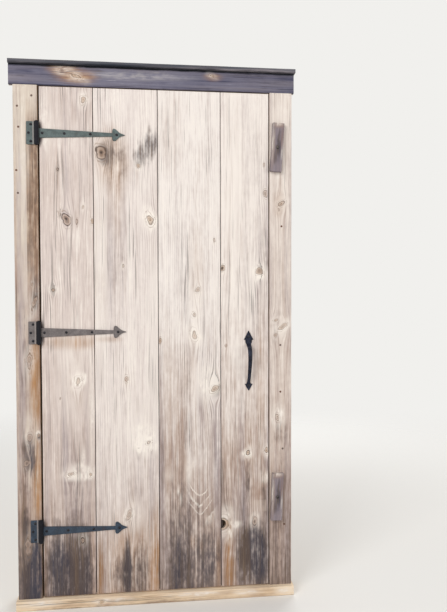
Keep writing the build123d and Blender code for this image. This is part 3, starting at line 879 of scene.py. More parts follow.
def outline_of(node, turned):
    """A square-edged timber's outline, and where it starts and ends along its grain."""
    low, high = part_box(node)
    if turned:
        return [(low.z, low.y), (high.z, low.y), (high.z, high.y), (low.z, high.y)], low.x, high.x
    return [(low.x, low.y), (high.x, low.y), (high.x, high.y), (low.x, high.y)], low.z, high.z


# Materials

def add_node(tree, kind, inputs=None, out=0, **settings):
    """Add a node, make its settings, fill its inputs with values or links, and give an output."""
    node = tree.nodes.new(kind)
    for name, value in settings.items():
        setattr(node, name, value)
    for key, value in (inputs or {}).items():
        if isinstance(value, bpy.types.NodeSocket):
            tree.links.new(value, node.inputs[key])
        else:
            node.inputs[key].default_value = value
    return node.outputs[out] if out is not None else node


def new_material(name):
    """An empty material and its node tree."""
    material = bpy.data.materials.new(name)
    material.use_nodes = True
    material.node_tree.nodes.clear()
    return material, material.node_tree


def drawn_noise(tree, grain, across, along, seed, detail=2.0):
    """Noise whose patches are drawn out along the grain, sized across and along in millimetres."""
    cells = (1 / (across * MM), 1 / (across * MM), 1 / (along * MM))
    place = add_node(
        tree, "ShaderNodeVectorMath", {0: grain, 1: cells, 2: (seed, seed, seed)},
        operation="MULTIPLY_ADD",
    )
    return add_node(tree, "ShaderNodeTexNoise", {"Vector": place, "Scale": 1.0, "Detail": detail})


def weighed(tree, *terms):
    """The sum of fields, each a number or a pair of a field and its weight."""
    total = 0.0
    for term in terms:
        field, weight = term if isinstance(term, tuple) else (term, 1.0)
        total = add_node(
            tree, "ShaderNodeMath", {0: field, 1: weight, 2: total}, operation="MULTIPLY_ADD"
        )
    return total


def layered(tree, base, *layers):
    """A base colour with others laid over it in turn, each by its share."""
    for share, over in layers:
        base = add_node(tree, "ShaderNodeMix", {0: share, 6: base, 7: over}, 2, data_type="RGBA")
    return base


def eased_band(tree, field, *stops):
    """One where a field lies between the middle two of four stops, easing to none outside them."""
    rise = {0: field, 1: stops[0], 2: stops[1]}
    fall = {0: field, 1: stops[2], 2: stops[3], 3: 1.0, 4: 0.0}
    both = [
        add_node(tree, "ShaderNodeMapRange", slope, interpolation_type="SMOOTHSTEP")
        for slope in (rise, fall)
    ]
    return weighed(tree, tuple(both))


def pine_grain(tree, grain, ring, seed, settings):
    """The fields that make up softwood's figure, from fine fibres to broad clouds."""
    # Sizes are in millimetres across and along the grain. Pine's fibres are 0.04 mm wide and are
    # drawn 3 mm wide to show. Its rings are about 3 mm apart, and the setting draws them coarser.
    fibre = drawn_noise(tree, grain, 3.0, 120.0, seed, 3.0)
    streak = drawn_noise(tree, grain, 6.5, 460.0, seed + 7, 4.0)
    band = drawn_noise(tree, grain, 30.0, 800.0, seed + 13, 2.0)
    mottle = drawn_noise(tree, grain, 12.0, 28.0, seed + 17, 3.0)
    cloud = drawn_noise(tree, grain, 60.0, 170.0, seed + 31, 2.0)
    # The last number centres the texture on zero, because noise lies round a half
    texture = weighed(
        tree, (fibre, 2.1), (streak, 1.7), (band, 1.2), (mottle, 0.9), (cloud, 1.1), -3.5
    )
    turns = weighed(tree, (ring, 1 / settings.ring_spacing), (streak, 1.1))
    turns = add_node(tree, "ShaderNodeMath", {0: turns, 1: 0.5}, operation="PINGPONG")
    late = add_node(
        tree, "ShaderNodeMapRange", {0: turns, 1: 0.26, 2: 0.48}, interpolation_type="SMOOTHSTEP"
    )
    # Hair cracks are finer than this, and are drawn 2.8 mm wide to show
    hair = weighed(
        tree,
        drawn_noise(tree, grain, 2.8, 240.0, seed + 23, 1.0),
        (drawn_noise(tree, grain, 46.0, 420.0, seed + 29, 1.0), 0.55),
    )
    hair = add_node(
        tree, "ShaderNodeMapRange", {0: hair, 1: 0.95, 2: 1.08}, interpolation_type="SMOOTHSTEP"
    )
    return PineGrain(fibre, streak, band, mottle, texture, late, hair)


def pine_knots(tree, wood, rim, dark, red, figure, tones, settings):
    """Lay knots over a wood's colour, and give how deep each point of them lies."""
    edge = weighed(tree, rim, (figure.mottle, 1.7), (figure.fibre, 0.7), -1.2)
    inside, core = (
        add_node(
            tree, "ShaderNodeMapRange", {0: edge, 1: full, 2: none, 3: 1.0, 4: 0.0},
            interpolation_type="SMOOTHSTEP",
        )
        for full, none in ((0.75, 1.1), (0.1, 0.5))
    )
    ragged = weighed(tree, figure.streak, (figure.mottle, 0.8))
    broken = add_node(
        tree, "ShaderNodeMapRange", {0: ragged, 1: 0.72, 2: 1.05}, interpolation_type="SMOOTHSTEP"
    )
    bark = eased_band(tree, edge, 0.7, 0.92, 0.98, 1.2)
    bark = weighed(tree, (bark, weighed(tree, (broken, 0.7), 0.5)))
    turns = weighed(tree, (edge, 1.8), (figure.fibre, 0.5))
    turns = add_node(tree, "ShaderNodeMath", {0: turns, 1: 0.5}, operation="PINGPONG")
    lines = add_node(
        tree, "ShaderNodeMapRange", {0: turns, 1: 0.22, 2: 0.02}, interpolation_type="SMOOTHSTEP"
    )
    near = eased_band(tree, edge, -0.3, 0.2, 1.1, 2.1)
    near = weighed(tree, (near, weighed(tree, (broken, 0.6), 0.32)))
    sound = layered(tree, tones[1], (red, settings.knot_light))
    wood = layered(
        tree, wood,
        (weighed(tree, (inside, 0.5)), sound),
        (weighed(tree, (lines, near)), settings.brown_pine),
    )
    shade = weighed(tree, (weighed(tree, (bark, 0.8), (core, 0.9)), dark))
    return layered(tree, wood, (shade, settings.knot_dark)), shade


def pine_surface(tree, wood, figure, shade, proud):
    """Raised latewood and fibres, sunken checks and knots, and wood's broken dull gloss."""
    height = weighed(
        tree, (figure.fibre, 0.7), (figure.streak, 0.6), (figure.late, 0.35),
        (figure.hair, -1.4), (shade, -0.6),
    )
    normal = add_node(
        tree, "ShaderNodeBump", {"Strength": 1.0, "Distance": proud, "Height": height}
    )
    shader = add_node(
        tree, "ShaderNodeBsdfPrincipled",
        {
            "Base Color": wood,
            "Roughness": weighed(tree, (figure.streak, 0.2), 0.72),
            "Normal": normal,
            "IOR": 1.45,
            "Specular IOR Level": 0.25,
        },
    )
    add_node(tree, "ShaderNodeOutputMaterial", {"Surface": shader}, None)


def damp_pine(tree, stain, figure, settings):
    """How far splash and mould have soaked in, and their colour, with pale fibres standing out."""
    soak = weighed(tree, stain, (figure.texture, 0.45), (figure.mottle, 0.4), -0.2)
    soak, start = (
        add_node(
            tree, "ShaderNodeMapRange", {0: field, 1: none, 2: full},
            interpolation_type="SMOOTHSTEP",
        )
        for field, none, full in ((soak, 0.04, 0.9), (stain, 0.0, 0.25))
    )
    thin = weighed(tree, (figure.fibre, 4.6), (figure.streak, 1.2), (figure.mottle, 0.8), -3.22)
    # A seam's sides carry painted shade and dirt, darker than the weather stains, and show no
    # fibres
    full = add_node(tree, "ShaderNodeMapRange", {0: stain, 1: 0.6, 2: SEAM_SHADE_AND_DIRT, 3: 1.0, 4: 0.0})
    damp = layered(
        tree, settings.damp_grey,
        (weighed(tree, (figure.band, 3.0), -1.1), settings.damp_brown),
        (weighed(tree, (thin, weighed(tree, (full, 0.6)))), settings.damp_pale),
    )
    return weighed(tree, (soak, start)), damp


def pale_lines(tree, phase, shown, figure):
    """Where pale lines are drawn, one for each whole turn of their phase."""
    turns = weighed(tree, phase, (figure.fibre, 0.5), (figure.mottle, 0.5))
    turns = add_node(tree, "ShaderNodeMath", {0: turns, 1: 0.5}, operation="PINGPONG")
    lines = add_node(
        tree, "ShaderNodeMapRange", {0: turns, 1: 0.19, 2: 0.04}, interpolation_type="SMOOTHSTEP"
    )
    ragged = weighed(tree, (figure.mottle, 3.0), (figure.fibre, 1.8), -1.75)
    return weighed(tree, (lines, weighed(tree, (shown, ragged))))


def weathered_pine(name, tones, settings, seed, proud=0.6 * MM):
    """Rough-sawn pine left bare outdoors: silver-grey streaks, proud latewood, never glossy."""
    material, tree = new_material(name)
    grain, knot, lines = (
        add_node(tree, "ShaderNodeAttribute", out="Vector", attribute_name=field)
        for field in ("grain", "knot", "figure")
    )
    ring = add_node(tree, "ShaderNodeAttribute", out="Fac", attribute_name="ring")
    weather = add_node(tree, "ShaderNodeAttribute", out=None, attribute_name="weather")
    stain, warm, pale = add_node(
        tree, "ShaderNodeSeparateColor", {0: weather.outputs["Color"]}, None
    ).outputs
    age = weather.outputs["Alpha"]
    rim, dark, red = add_node(tree, "ShaderNodeSeparateXYZ", {0: knot}, None).outputs
    phase, shown, swirl = add_node(tree, "ShaderNodeSeparateXYZ", {0: lines}, None).outputs
    figure = pine_grain(tree, grain, ring, seed, settings)

    # The streaks that age greys follow the grain, and the latewood round knots greys first
    late = weighed(tree, (figure.late, weighed(tree, (swirl, 0.5), 0.14)))
    liveliness = weighed(tree, (age, 0.32), 0.56)
    greyed = weighed(tree, (figure.texture, liveliness), late, age, -0.04)
    coolness = weighed(tree, (figure.band, 2.0), -0.8)
    aged = layered(tree, tones[1], (coolness, settings.cool_pine))
    # Resin shows as ochre where shelter has kept it, and tannin as brown bands in it
    warmth = weighed(tree, (warm, weighed(tree, (figure.texture, 0.8), 0.92)))
    tannin = weighed(tree, (figure.band, 1.6), -0.3)
    ochre = layered(tree, settings.ochre_pine, (tannin, settings.brown_pine))
    ragged = weighed(tree, (figure.mottle, 3.4), (figure.fibre, 2.0), -1.85)
    bleach = weighed(tree, (pale, ragged))
    # The backs of the boards are as honey coloured as the sheltered timber behind them
    sheltered = add_node(
        tree, "ShaderNodeMapRange", {0: age, 1: -0.02, 2: -0.5}, interpolation_type="SMOOTHSTEP"
    )
    browned = weighed(tree, (figure.texture, 0.8), (figure.late, 0.35), 0.35)
    honey = layered(tree, settings.inner_pine, (browned, settings.inner_brown))
    wood = layered(
        tree, tones[0],
        (weighed(tree, (greyed, -1.8)), settings.bleached_pine),
        (greyed, aged),
        (weighed(tree, greyed, -1.0), tones[2]),
        (warmth, ochre),
        (bleach, settings.bleached_pine),
        (pale_lines(tree, phase, shown, figure), settings.bleached_pine),
        (sheltered, honey),
        damp_pine(tree, stain, figure, settings),
        (weighed(tree, (figure.hair, 0.55)), settings.check_dark),
    )
    wood, shade = pine_knots(tree, wood, rim, dark, red, figure, tones, settings)
    pine_surface(tree, wood, figure, shade, proud)
    return material


def sheltered_pine(name, tones, settings, seed, turn):
    """Sawn pine kept out of the weather: honey coloured, with darker latewood and round knots."""
    material, tree = new_material(name)
    place = add_node(tree, "ShaderNodeTexCoord", out="Object")
    grain = add_node(tree, "ShaderNodeMapping", {"Vector": place, "Rotation": turn})
    across, inward, along = add_node(tree, "ShaderNodeSeparateXYZ", {0: grain}, None).outputs
    sway = drawn_noise(tree, grain, 90.0, 700.0, seed, 1.0)
    across = weighed(tree, across, (sway, 0.03), 0.02)
    inward = weighed(tree, inward, (sway, -0.02), 0.06)
    squares = weighed(tree, (across, across), (inward, inward))
    ring = add_node(tree, "ShaderNodeMath", {0: squares}, operation="SQRT")
    figure = pine_grain(tree, grain, ring, seed, settings)
    # About one knot for each 110 mm across and 290 mm along, as in knotty second-grade pine
    cells = add_node(
        tree, "ShaderNodeVectorMath", {0: grain, 1: (9.0, 9.0, 3.4), 2: (seed, seed, seed)},
        operation="MULTIPLY_ADD",
    )
    rim = add_node(tree, "ShaderNodeTexVoronoi", {"Vector": cells, "Scale": 1.0}, "Distance")
    browned = weighed(tree, (figure.texture, 0.8), (figure.late, 0.35), 0.2)
    # Painted shade, with dirt blown through the gaps, darkens the fronts of the posts, the beam and
    # the other inner timber just behind the boards
    depth = add_node(tree, "ShaderNodeSeparateXYZ", {0: place}, "Y")
    dirt_and_shade = add_node(
        tree, "ShaderNodeMapRange", {0: depth, 1: 4.5 * MM, 2: 9 * MM, 3: 0.9, 4: 0.0},
        interpolation_type="SMOOTHSTEP",
    )
    wood = layered(tree, tones[0], (browned, tones[1]))
    rim = weighed(tree, (rim, 9.0))
    wood, shade = pine_knots(tree, wood, rim, 0.6, 0.8, figure, tones, settings)
    wood = layered(tree, wood, (dirt_and_shade, settings.check_dark))
    pine_surface(tree, wood, figure, shade, 0.4 * MM)
    return material


def dulled_iron(name, body, worn, rust, rust_share, metallic, roughness, knuckle=None):
    """Forged iron under old black: hammered, chalky, with rust in its pits."""
    material, tree = new_material(name)
    place = add_node(tree, "ShaderNodeTexCoord", out="Object")
    # Clouds of wear 22 mm wide, specks of 2.4 mm and hammer marks 9 mm apart
    cloud = drawn_noise(tree, place, 22.0, 22.0, 3.0, 3.0)
    speck = drawn_noise(tree, place, 2.4, 2.4, 5.0, 3.0)
    hammer = add_node(
        tree, "ShaderNodeTexVoronoi",
        {"Vector": place, "Scale": 1 / (9.0 * MM), "Smoothness": 0.7}, feature="SMOOTH_F1",
    )
    dulled, bloom = (
        add_node(
            tree, "ShaderNodeMapRange", {0: field, 1: none, 2: full, 4: most},
            interpolation_type="SMOOTHSTEP",
        )
        for field, none, full, most in (
            (weighed(tree, cloud, (speck, 0.9)), 0.8, 1.15, 1.0),
            (weighed(tree, (speck, 1.2), (cloud, -1.0)), 0.26, 0.5, rust_share),
        )
    )
    iron = layered(tree, body, (dulled, worn), (bloom, rust))
    if knuckle:
        across = add_node(tree, "ShaderNodeSeparateXYZ", {0: place}, "X")
        # A painted highlight along the plate's curl beside the knuckle (rubbed), and painted shade
        # on the knuckle's barrel
        rubbed, shade_band = (
            eased_band(tree, across, *(knuckle.x + offset * MM for offset in band))
            for band in (HIGHLIGHT_BAND, KNUCKLE_SHADE_BAND)
        )
        rubbed = weighed(tree, (rubbed, 0.55))
        iron = layered(tree, iron, (rubbed, knuckle.rubbed), (shade_band, knuckle.grease))
    height = weighed(tree, (hammer, 0.8), (speck, 0.35))
    normal = add_node(
        tree, "ShaderNodeBump", {"Strength": 0.6, "Distance": 0.5 * MM, "Height": height}
    )
    shader = add_node(
        tree, "ShaderNodeBsdfPrincipled",
        {
            "Base Color": iron,
            "Roughness": weighed(tree, (speck, 0.25), roughness - 0.12),
            "Metallic": metallic,
            "Normal": normal,
            "Specular IOR Level": 0.3,
        },
    )
    add_node(tree, "ShaderNodeOutputMaterial", {"Surface": shader}, None)
    return material


# Iron and screws

def repaint(node, material):
    """Give a CAD node this material alone."""
    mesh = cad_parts[node].data
    mesh.materials.clear()
    mesh.materials.append(material)


def solids_of(node):
    """The lowest and highest corner of each separate solid in a CAD node, in a fixed order."""
    copy = bmesh.new()
    copy.from_mesh(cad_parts[node].data)
    bmesh.ops.remove_doubles(copy, verts=copy.verts, dist=0.001 * MM)
    left_over = dict.fromkeys(copy.verts)
    boxes = []
    while left_over:
        group, front = [], [left_over.popitem()[0]]
        while front:
            vert = front.pop()
            group.append(vert.co.copy())
            for edge in vert.link_edges:
                other = edge.other_vert(vert)
                if other in left_over:
                    del left_over[other]
                    front.append(other)
        boxes.append((Vector(map(min, zip(*group))), Vector(map(max, zip(*group)))))
    copy.free()
    return boxes


def sink_cross(screw, top, reach, settings):
    """Sink a cross recess in the flat top of a screw."""
    half = settings.recess_width / 2
    for axis in (Vector((1, 0, 0)), Vector((0, 1, 0))):
        for offset in (-reach, -half, half, reach):
            flat = [face for face in screw.faces if face.calc_center_median().z > top]
            parts = [part for face in flat for part in (*face.verts, *face.edges, face)]
            cut_through(screw, list(dict.fromkeys(parts)), axis * offset, axis, 1e-7)
    cross = []
    for face in screw.faces:
        middle = face.calc_center_median()
        near, far = sorted((abs(middle.x), abs(middle.y)))
        if middle.z > top and near < half and far < reach:
            cross.append(face)
    drawn_out(screw, cross, -settings.recess_depth, 0.8)


def pan_head(radius, height, shank_length, settings):
    """A domed screw head with a cross recess, its top up along Z, and its shank below."""
    screw = bmesh.new()
    bmesh.ops.create_circle(screw, cap_ends=True, segments=20, radius=radius)
    base = top = screw.faces[:]
    for rise, share in HEAD_STEPS:
        top = drawn_out(screw, top, height * rise, share, keep=top is base)
    sink_cross(screw, height * 0.999, radius * CROSS_REACH, settings)
    for fall, share in SHANK_STEPS:
        base = drawn_out(screw, base, -shank_length * fall, share)
    bmesh.ops.recalc_face_normals(screw, faces=screw.faces)
    return screw


def drive_screws(name, node, faces_barn, body, slot, material, settings):
    """A screw with a cross recess in place of each plain one of a CAD node."""
    group = bmesh.new()
    # Each screw has stopped at its own turn, in degrees
    first_turn, turn_step = (5.4 if faces_barn else 10.8), 37
    for number, (low, high) in enumerate(solids_of(node)):
        radius = (high.x - low.x) / 2
        head = radius * HEAD_HEIGHT
        # The point ends just inside the CAD solid
        screw = pan_head(radius, head, (high.y - low.y - head) * 0.98, settings)
        seat = (high.y - head) if faces_barn else (low.y + head)
        upright = Matrix.Rotation(math.radians(-90 if faces_barn else 90), 4, "X")
        turn = Matrix.Rotation(math.radians(first_turn + turn_step * number), 4, "Z")
        place = Matrix.Translation(((low.x + high.x) / 2, seat, (low.z + high.z) / 2))
        bmesh.ops.transform(screw, matrix=place @ upright @ turn, verts=screw.verts)
        part = as_mesh("screw_part", screw)
        group.from_mesh(part)
        bpy.data.meshes.remove(part)
    mesh = as_mesh(name, group)
    mesh.shade_smooth()
    mesh.set_sharp_from_angle(angle=SCREW_CREASE)
    mesh.materials.append(material)
    stands_for(placed(name, mesh), body, slot, node)


# The pieces

class BARNDOOR_OT_leaf_boards(bpy.types.Operator):
    """Model the four lapped boards of the leaf and weather them"""

    bl_idname = "barndoor.leaf_boards"
    bl_label = "Leaf Boards"

    def execute(self, context):
        settings = context.scene.barndoor_timber
        boxes = [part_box(f"leaf_board_{number}") for number in range(1, 5)]
        lap = boxes[0][1].x - (boxes[1][0].x - settings.board_seam)
        places = ("first", "second", "third", "fourth")
        for number, (place, timber) in enumerate(zip(places, LEAF_TIMBERS)):
            low, high = boxes[number]
            lip = (low.y + high.y) / 2
            back_lip = lip + settings.lap_gap
            if place == "fourth":
                outline = [(low.x, low.y), (high.x, low.y), (high.x, high.y)]
            else:
                right = boxes[number + 1][0].x - settings.board_seam
                outline = [(low.x, low.y), (right, low.y), (right, back_lip)]
                outline += [(right + lap, back_lip), (right + lap, high.y)]
            if place == "first":
                outline += [(low.x, high.y)]
            else:
                outline += [(low.x + lap, high.y), (low.x + lap, lip), (low.x, lip)]
            blank = sawn_blank(outline, low.z, high.z, settings)
            if place == "fourth":
                cut_knot_hole(blank, KNOT_HOLE)
            # Pine that sun and rain have silvered, pale and matt, with a brown and grey wet foot
            tones = (getattr(settings, f"{place}_board"), settings.aged_pine, settings.grimed_pine)
            name = f"board_{number + 1}"
            material = weathered_pine(f"weathered_pine_{name}", tones, settings, 3.1 * number + 1)
            extra = cathedral_figure if place == "third" else None
            piece = dress_timber(name, blank, timber, material, settings, False, number + 1, extra)
            stands_for(piece, "leaf", "weathered_boards", f"leaf_{name}")
        return {"FINISHED"}


def cathedral_figure(points, fields):
    """Pale nested points where the saw has run out of the latewood, low on the third board."""
    across, depth, along = points.T
    aside = across - CATHEDRAL.across
    up = along - CATHEDRAL.along
    bend = CATHEDRAL_BEND * smooth_share(up, -90, 20) + 3
    climb = along - CATHEDRAL_SLOPE * (np.hypot(aside, bend) - bend)
    phases = (0.5, *range(1, len(CATHEDRAL_LINES)))
    fields["figure"][:, 0] = np.interp(climb, CATHEDRAL_LINES, phases)
    reach = np.hypot((aside + 0.3 * up) / CATHEDRAL.half_width, up / CATHEDRAL.half_height)
    fields["figure"][:, 1] = CATHEDRAL.amount * (1 - smooth_share(reach, 0.55, 1.0))


class BARNDOOR_OT_casings(bpy.types.Operator):
    """Model the casings on both sides of the leaf and weather them"""

    bl_idname = "barndoor.casings"
    bl_label = "Casings"

    def execute(self, context):
        settings = context.scene.barndoor_timber
        for side, timber, seed in (("left", LEFT_CASING, 6), ("right", RIGHT_CASING, 7)):
            node = f"{side}_casing"
            blank = sawn_blank(*outline_of(node, False), settings)
            # The same silvered pine, yellower, with ochre where the hinges' side is sheltered
            tones = (getattr(settings, node), settings.aged_pine, settings.grimed_pine)
            material = weathered_pine(f"weathered_pine_{node}", tones, settings, 1.7 * seed)
            name = f"{node}_board"
            piece = dress_timber(name, blank, timber, material, settings, False, seed)
            stands_for(piece, "frame", "weathered_boards", node)
        return {"FINISHED"}


class BARNDOOR_OT_head(bpy.types.Operator):
    """Model the head board and the drip cap above it"""

    bl_idname = "barndoor.head"
    bl_label = "Head Board and Drip Cap"

    def execute(self, context):
        settings = context.scene.barndoor_timber
        blank = sawn_blank(*outline_of("head_board", True), settings)
        # Pine weathered through to a dark purple-grey, with cream where it curls round knots
        # Cap black gives painted shade along its top edge, under the drip cap
        tones = (settings.head_grey, settings.head_dark, settings.cap_black)
        material = weathered_pine("greyed_pine_head", tones, settings, 21.0)
        piece = dress_timber("head_board_face", blank, HEAD_BOARD, material, settings, True, 8)
        stands_for(piece, "frame", "grey_timber", "head_board")

        low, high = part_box("drip_cap")
        nose_top = high.z - settings.cap_slope
        outline = [(low.z, low.y), (nose_top, low.y), (high.z, high.y), (low.z, high.y)]
        blank = sawn_blank(outline, low.x, high.x, settings)
        # Pine under standing rain: green-grey and matt, near black along its lower edge, which is
        # painted shade
        tones = (settings.cap_grey, settings.cap_dark, settings.cap_black)
        material = weathered_pine("greyed_pine_cap", tones, settings, 25.0)
        piece = dress_timber("drip_cap_board", blank, DRIP_CAP, material, settings, True, 9)
        stands_for(piece, "frame", "grey_timber", "drip_cap")
        return {"FINISHED"}


class BARNDOOR_OT_sill(bpy.types.Operator):
    """Model the worn sill under the leaf"""

    bl_idname = "barndoor.sill"
    bl_label = "Sill"

    def execute(self, context):
        settings = context.scene.barndoor_timber
        blank = sawn_blank(*outline_of("sill", True), settings, ease_all=True)
        # Pine that feet have worn back to pale yellow wood, with soft brown streaks
        tones = (settings.sill_yellow, settings.sill_brown, settings.grimed_pine)
        material = weathered_pine("worn_pine_sill", tones, settings, 29.0)
        piece = dress_timber("sill_board", blank, SILL, material, settings, True, 10)
        stands_for(piece, "frame", "pale_timber", "sill")
        return {"FINISHED"}


class BARNDOOR_OT_turn_buttons(bpy.types.Operator):
    """Model the two wooden turn buttons, their corners rounded by hands"""

    bl_idname = "barndoor.turn_buttons"
    bl_label = "Turn Buttons"

    def execute(self, context):
        settings = context.scene.barndoor_timber
        half_width = settings.button_width / 2
        half_depth = settings.button_thickness / 2
        half_length = settings.button_length / 2
        outline = [
            (-half_width, -half_depth), (half_width, -half_depth),
            (half_width, half_depth), (-half_width, half_depth),
        ]
        # Pine rubbed by hands and greyed through, its fibres standing out between dark streaks
        tones = (settings.button_grey, settings.button_dark, settings.cap_black)
        material = weathered_pine("greyed_pine_buttons", tones, settings, 33.0, 0.9 * MM)
        leans = {"upper": settings.upper_button_lean, "lower": settings.lower_button_lean}
        for seed, (place, lean) in enumerate(leans.items()):
            low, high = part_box(f"{place}_turn_button")
            middle = (low + high) / 2
            blank = sawn_blank(outline, -half_length, half_length, settings, True, True)
            turn = Matrix.Translation(middle) @ Matrix.Rotation(lean, 4, "Y")
            piece = dress_timber(
                f"{place}_button_block", blank, TURN_BUTTON, material, settings,
                False, 11 + seed, place=turn,
            )
            stands_for(piece, f"{place}_button", "grey_timber", f"{place}_turn_button")
        return {"FINISHED"}


class BARNDOOR_OT_inner_timber(bpy.types.Operator):
    """Give the posts, beam, stops, ledges and braces their sheltered pine"""

    bl_idname = "barndoor.inner_timber"
    bl_label = "Posts, Ledges and Braces"

    def execute(self, context):
        settings = context.scene.barndoor_timber
        tones = (settings.inner_pine, settings.inner_brown)
        low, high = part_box("upper_brace")
        slope = math.atan2(high.z - low.z, high.x - low.x)
        level = math.radians(90)
        ways = {
            "upright": (0, ("left_post", "right_post", "left_stop", "right_stop")),
            "level": (
                level, ("head_beam", "head_stop", "top_ledge", "middle_ledge", "bottom_ledge")
            ),
            "sloping": (slope - level, ("upper_brace", "lower_brace")),
        }
        for seed, (way, (turn, nodes)) in enumerate(ways.items()):
            # Sawn pine that no rain has reached, so it keeps a warm honey colour and is matt
            material = sheltered_pine(
                f"sheltered_pine_{way}", tones, settings, 5.0 * seed + 2, (0, turn, 0)
            )
            for node in nodes:
                repaint(node, material)
        return {"FINISHED"}


class BARNDOOR_OT_ironwork(bpy.types.Operator):
    """Give the hinges, their pins, the handle and the nails their dulled iron"""

    bl_idname = "barndoor.ironwork"
    bl_label = "Ironwork"

    def execute(self, context):
        settings = context.scene.barndoor_iron
        for place in ("upper", "middle", "lower"):
            body = getattr(settings, f"{place}_hinge")
            worn = [min(1.0, channel * 1.5) for channel in body]
            low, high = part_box(f"{place}_hinge_pin")
            # Each knuckle gets a painted highlight along its plate's curl and painted shade on its
            # barrel
            knuckle = Knuckle((low.x + high.x) / 2, settings.knuckle_highlight, settings.grease)
            # Forged iron whose black paint has gone chalky: matt, each hinge faded its own way
            material = dulled_iron(
                f"dulled_iron_{place}_hinge", body, worn, settings.rust, 0.4, 0.0, 0.75, knuckle
            )
            for part in ("strap", "plate", "pin"):
                repaint(f"{place}_hinge_{part}", material)
        # Forged iron blackened in the fire and polished by hands: near black with a soft gloss
        handle = dulled_iron(
            "blackened_iron_handle", settings.handle_black, settings.handle_worn, settings.rust,
            0.1, 0.3, 0.5,
        )
        repaint("pull_handle", handle)
        # Plain steel wire nails, rusted to a rough dark brown
        nails = dulled_iron(
            "rusted_steel_nails", settings.rust, settings.steel, settings.rust, 0.8, 0.3, 0.7
        )
        repaint("casing_nails", nails)
        return {"FINISHED"}


class BARNDOOR_OT_screws(bpy.types.Operator):
    """Model the screws with their cross recesses"""

    bl_idname = "barndoor.screws"
    bl_label = "Screws"

    def execute(self, context):
        settings = context.scene.barndoor_iron
        # Blackened steel, rubbed to grey on its high spots by the driver
        black = dulled_iron(
            "blackened_steel_screws", settings.screw_black, settings.screw_worn, settings.rust,
            0.3, 0.4, 0.5,
        )
        # Bare steel gone dull, with rust in its hollows
        dull = dulled_iron(
            "dull_steel_screws", settings.steel, settings.screw_black, settings.rust,
            0.7, 0.6, 0.5,
        )
        for node, faces_barn, body, slot, material in (
            ("strap_screws", False, "leaf", "black_iron", black),
            ("plate_screws", False, "frame", "black_iron", black),
            ("handle_screws", False, "leaf", "black_iron", black),
            ("upper_pivot_screw", False, "frame", "rusty_steel", dull),
            ("lower_pivot_screw", False, "frame", "rusty_steel", dull),
            ("ledge_screws", True, "leaf", "rusty_steel", dull),
            ("brace_screws", True, "leaf", "rusty_steel", dull),
        ):
            drive_screws(f"{node}_driven", node, faces_barn, body, slot, material, settings)
        return {"FINISHED"}


# The stage

class BARNDOOR_OT_stage(bpy.types.Operator):
    """Set the pale floor, the soft lamps and the camera"""

    bl_idname = "barndoor.stage"
    bl_label = "Stage"

    def execute(self, context):
        settings = context.scene.barndoor_studio
        lay_floor(settings)
        light_sky(settings)
        aim = Vector((0, 0, 1.0))
        for name, place, size, power in (
            ("key_lamp", (-2.4, -3.4, 3.3), 2.2, settings.key_power),
            ("fill_lamp", (3.0, -3.0, 1.9), 2.4, settings.fill_power),
            ("back_lamp", (1.6, 3.8, 3.0), 2.4, settings.back_power),
        ):
            lamp = bpy.data.lights.new(name, "AREA")
            lamp.size = size
            lamp.energy = power
            holder = placed(name, lamp)
            holder.location = place
            holder.rotation_euler = (aim - Vector(place)).to_track_quat("-Z", "Y").to_euler()
        camera = bpy.data.cameras.new("camera")
        camera.angle = settings.field_of_view
        camera.clip_start = 0.1
        camera.clip_end = 60.0
        view = placed("camera", camera)
        upright = Matrix.Rotation(math.radians(90) - settings.camera_pitch, 4, "X")
        turn = Matrix.Rotation(-settings.camera_yaw, 4, "Z")
        roll = Matrix.Rotation(settings.camera_roll, 4, "Z")
        spot = (settings.camera_x, -settings.camera_distance, settings.camera_height)
        view.matrix_world = Matrix.Translation(spot) @ turn @ upright @ roll
        context.scene.camera = view
        context.scene.view_settings.view_transform = "Standard"
        return {"FINISHED"}


def lay_floor(settings):
    """A round pale floor that fades into the background before its edge."""
    disc = bmesh.new()
    bmesh.ops.create_circle(disc, cap_ends=True, segments=96, radius=FLOOR_RADIUS)
    floor = placed("floor", as_mesh("floor", disc))
    # Matt pale paint, which takes a soft shadow and no gloss
    material, tree = new_material("painted_floor")
    place = add_node(tree, "ShaderNodeTexCoord", out="Object")
    reach = add_node(tree, "ShaderNodeVectorMath", {0: place}, "Value", operation="LENGTH")
    fade = {0: reach, 1: FLOOR_FADE[0], 2: FLOOR_FADE[1]}
    faded = add_node(tree, "ShaderNodeMapRange", fade, interpolation_type="SMOOTHSTEP")
    paint = add_node(tree, "ShaderNodeBsdfDiffuse", {"Color": settings.floor})
    clear = add_node(tree, "ShaderNodeBsdfTransparent")
    surface = add_node(tree, "ShaderNodeMixShader", {0: faded, 1: paint, 2: clear})
    add_node(tree, "ShaderNodeOutputMaterial", {"Surface": surface}, None)
    floor.data.materials.append(material)


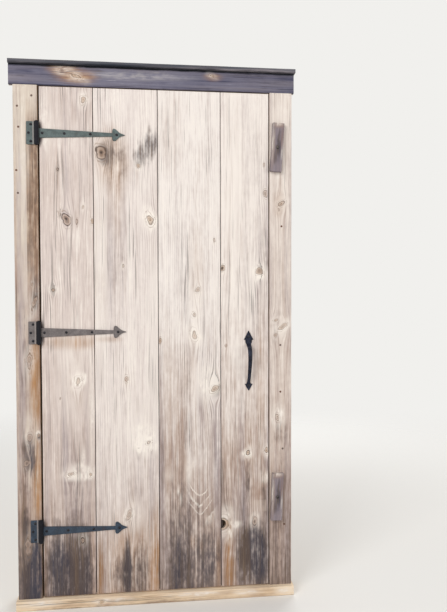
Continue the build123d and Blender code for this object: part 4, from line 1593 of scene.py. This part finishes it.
def light_sky(settings):
    """Even light from all round, which the camera and gloss see as a pale background."""
    world = bpy.data.worlds.new("studio")
    bpy.context.scene.world = world
    world.use_nodes = True
    tree = world.node_tree
    tree.nodes.clear()
    ray = add_node(tree, "ShaderNodeLightPath", out=None)
    seen = ray.outputs["Is Camera Ray"]
    for kind in ("Is Glossy Ray", "Is Transmission Ray"):
        either = {0: seen, 1: ray.outputs[kind]}
        seen = add_node(tree, "ShaderNodeMath", either, operation="MAXIMUM")
    even = add_node(tree, "ShaderNodeBackground", {"Color": (1, 1, 1, 1), "Strength": settings.sky})
    shown = add_node(tree, "ShaderNodeBackground", {"Color": settings.backdrop, "Strength": 1.0})
    mixed = add_node(tree, "ShaderNodeMixShader", {0: seen, 1: even, 2: shown})
    add_node(tree, "ShaderNodeOutputWorld", {"Surface": mixed}, None)


# The panel and the run

OPERATORS = (
    BARNDOOR_OT_leaf_boards,
    BARNDOOR_OT_casings,
    BARNDOOR_OT_head,
    BARNDOOR_OT_sill,
    BARNDOOR_OT_turn_buttons,
    BARNDOOR_OT_inner_timber,
    BARNDOOR_OT_ironwork,
    BARNDOOR_OT_screws,
    BARNDOOR_OT_stage,
)


class BARNDOOR_PT_panel(bpy.types.Panel):
    """Lists the pieces of the barn door and their settings"""

    bl_idname = "BARNDOOR_PT_panel"
    bl_label = "Barn Door"
    bl_space_type = "VIEW_3D"
    bl_region_type = "UI"
    bl_category = "Barn Door"

    def draw(self, context):
        layout = self.layout
        for operator in OPERATORS:
            layout.operator(operator.bl_idname)
        for name in GROUPS:
            group = getattr(context.scene, name)
            box = layout.box()
            for setting in group.__annotations__:
                box.prop(group, setting)


GROUPS = {
    "barndoor_timber": TimberSettings,
    "barndoor_iron": IronSettings,
    "barndoor_studio": StudioSettings,
}
CLASSES = (*GROUPS.values(), *OPERATORS, BARNDOOR_PT_panel)


def register():
    """Add the classes to Blender and their settings to the scene."""
    for each in CLASSES:
        bpy.utils.register_class(each)
    for name, group in GROUPS.items():
        setattr(bpy.types.Scene, name, PointerProperty(type=group))


def unregister():
    """Take the settings and the classes away again."""
    for name in GROUPS:
        delattr(bpy.types.Scene, name)
    for each in reversed(CLASSES):
        bpy.utils.unregister_class(each)


def main():
    """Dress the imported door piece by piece."""
    register()
    for operator in OPERATORS:
        group, name = operator.bl_idname.split(".")
        getattr(getattr(bpy.ops, group), name)()


if __name__ == "__main__":
    main()
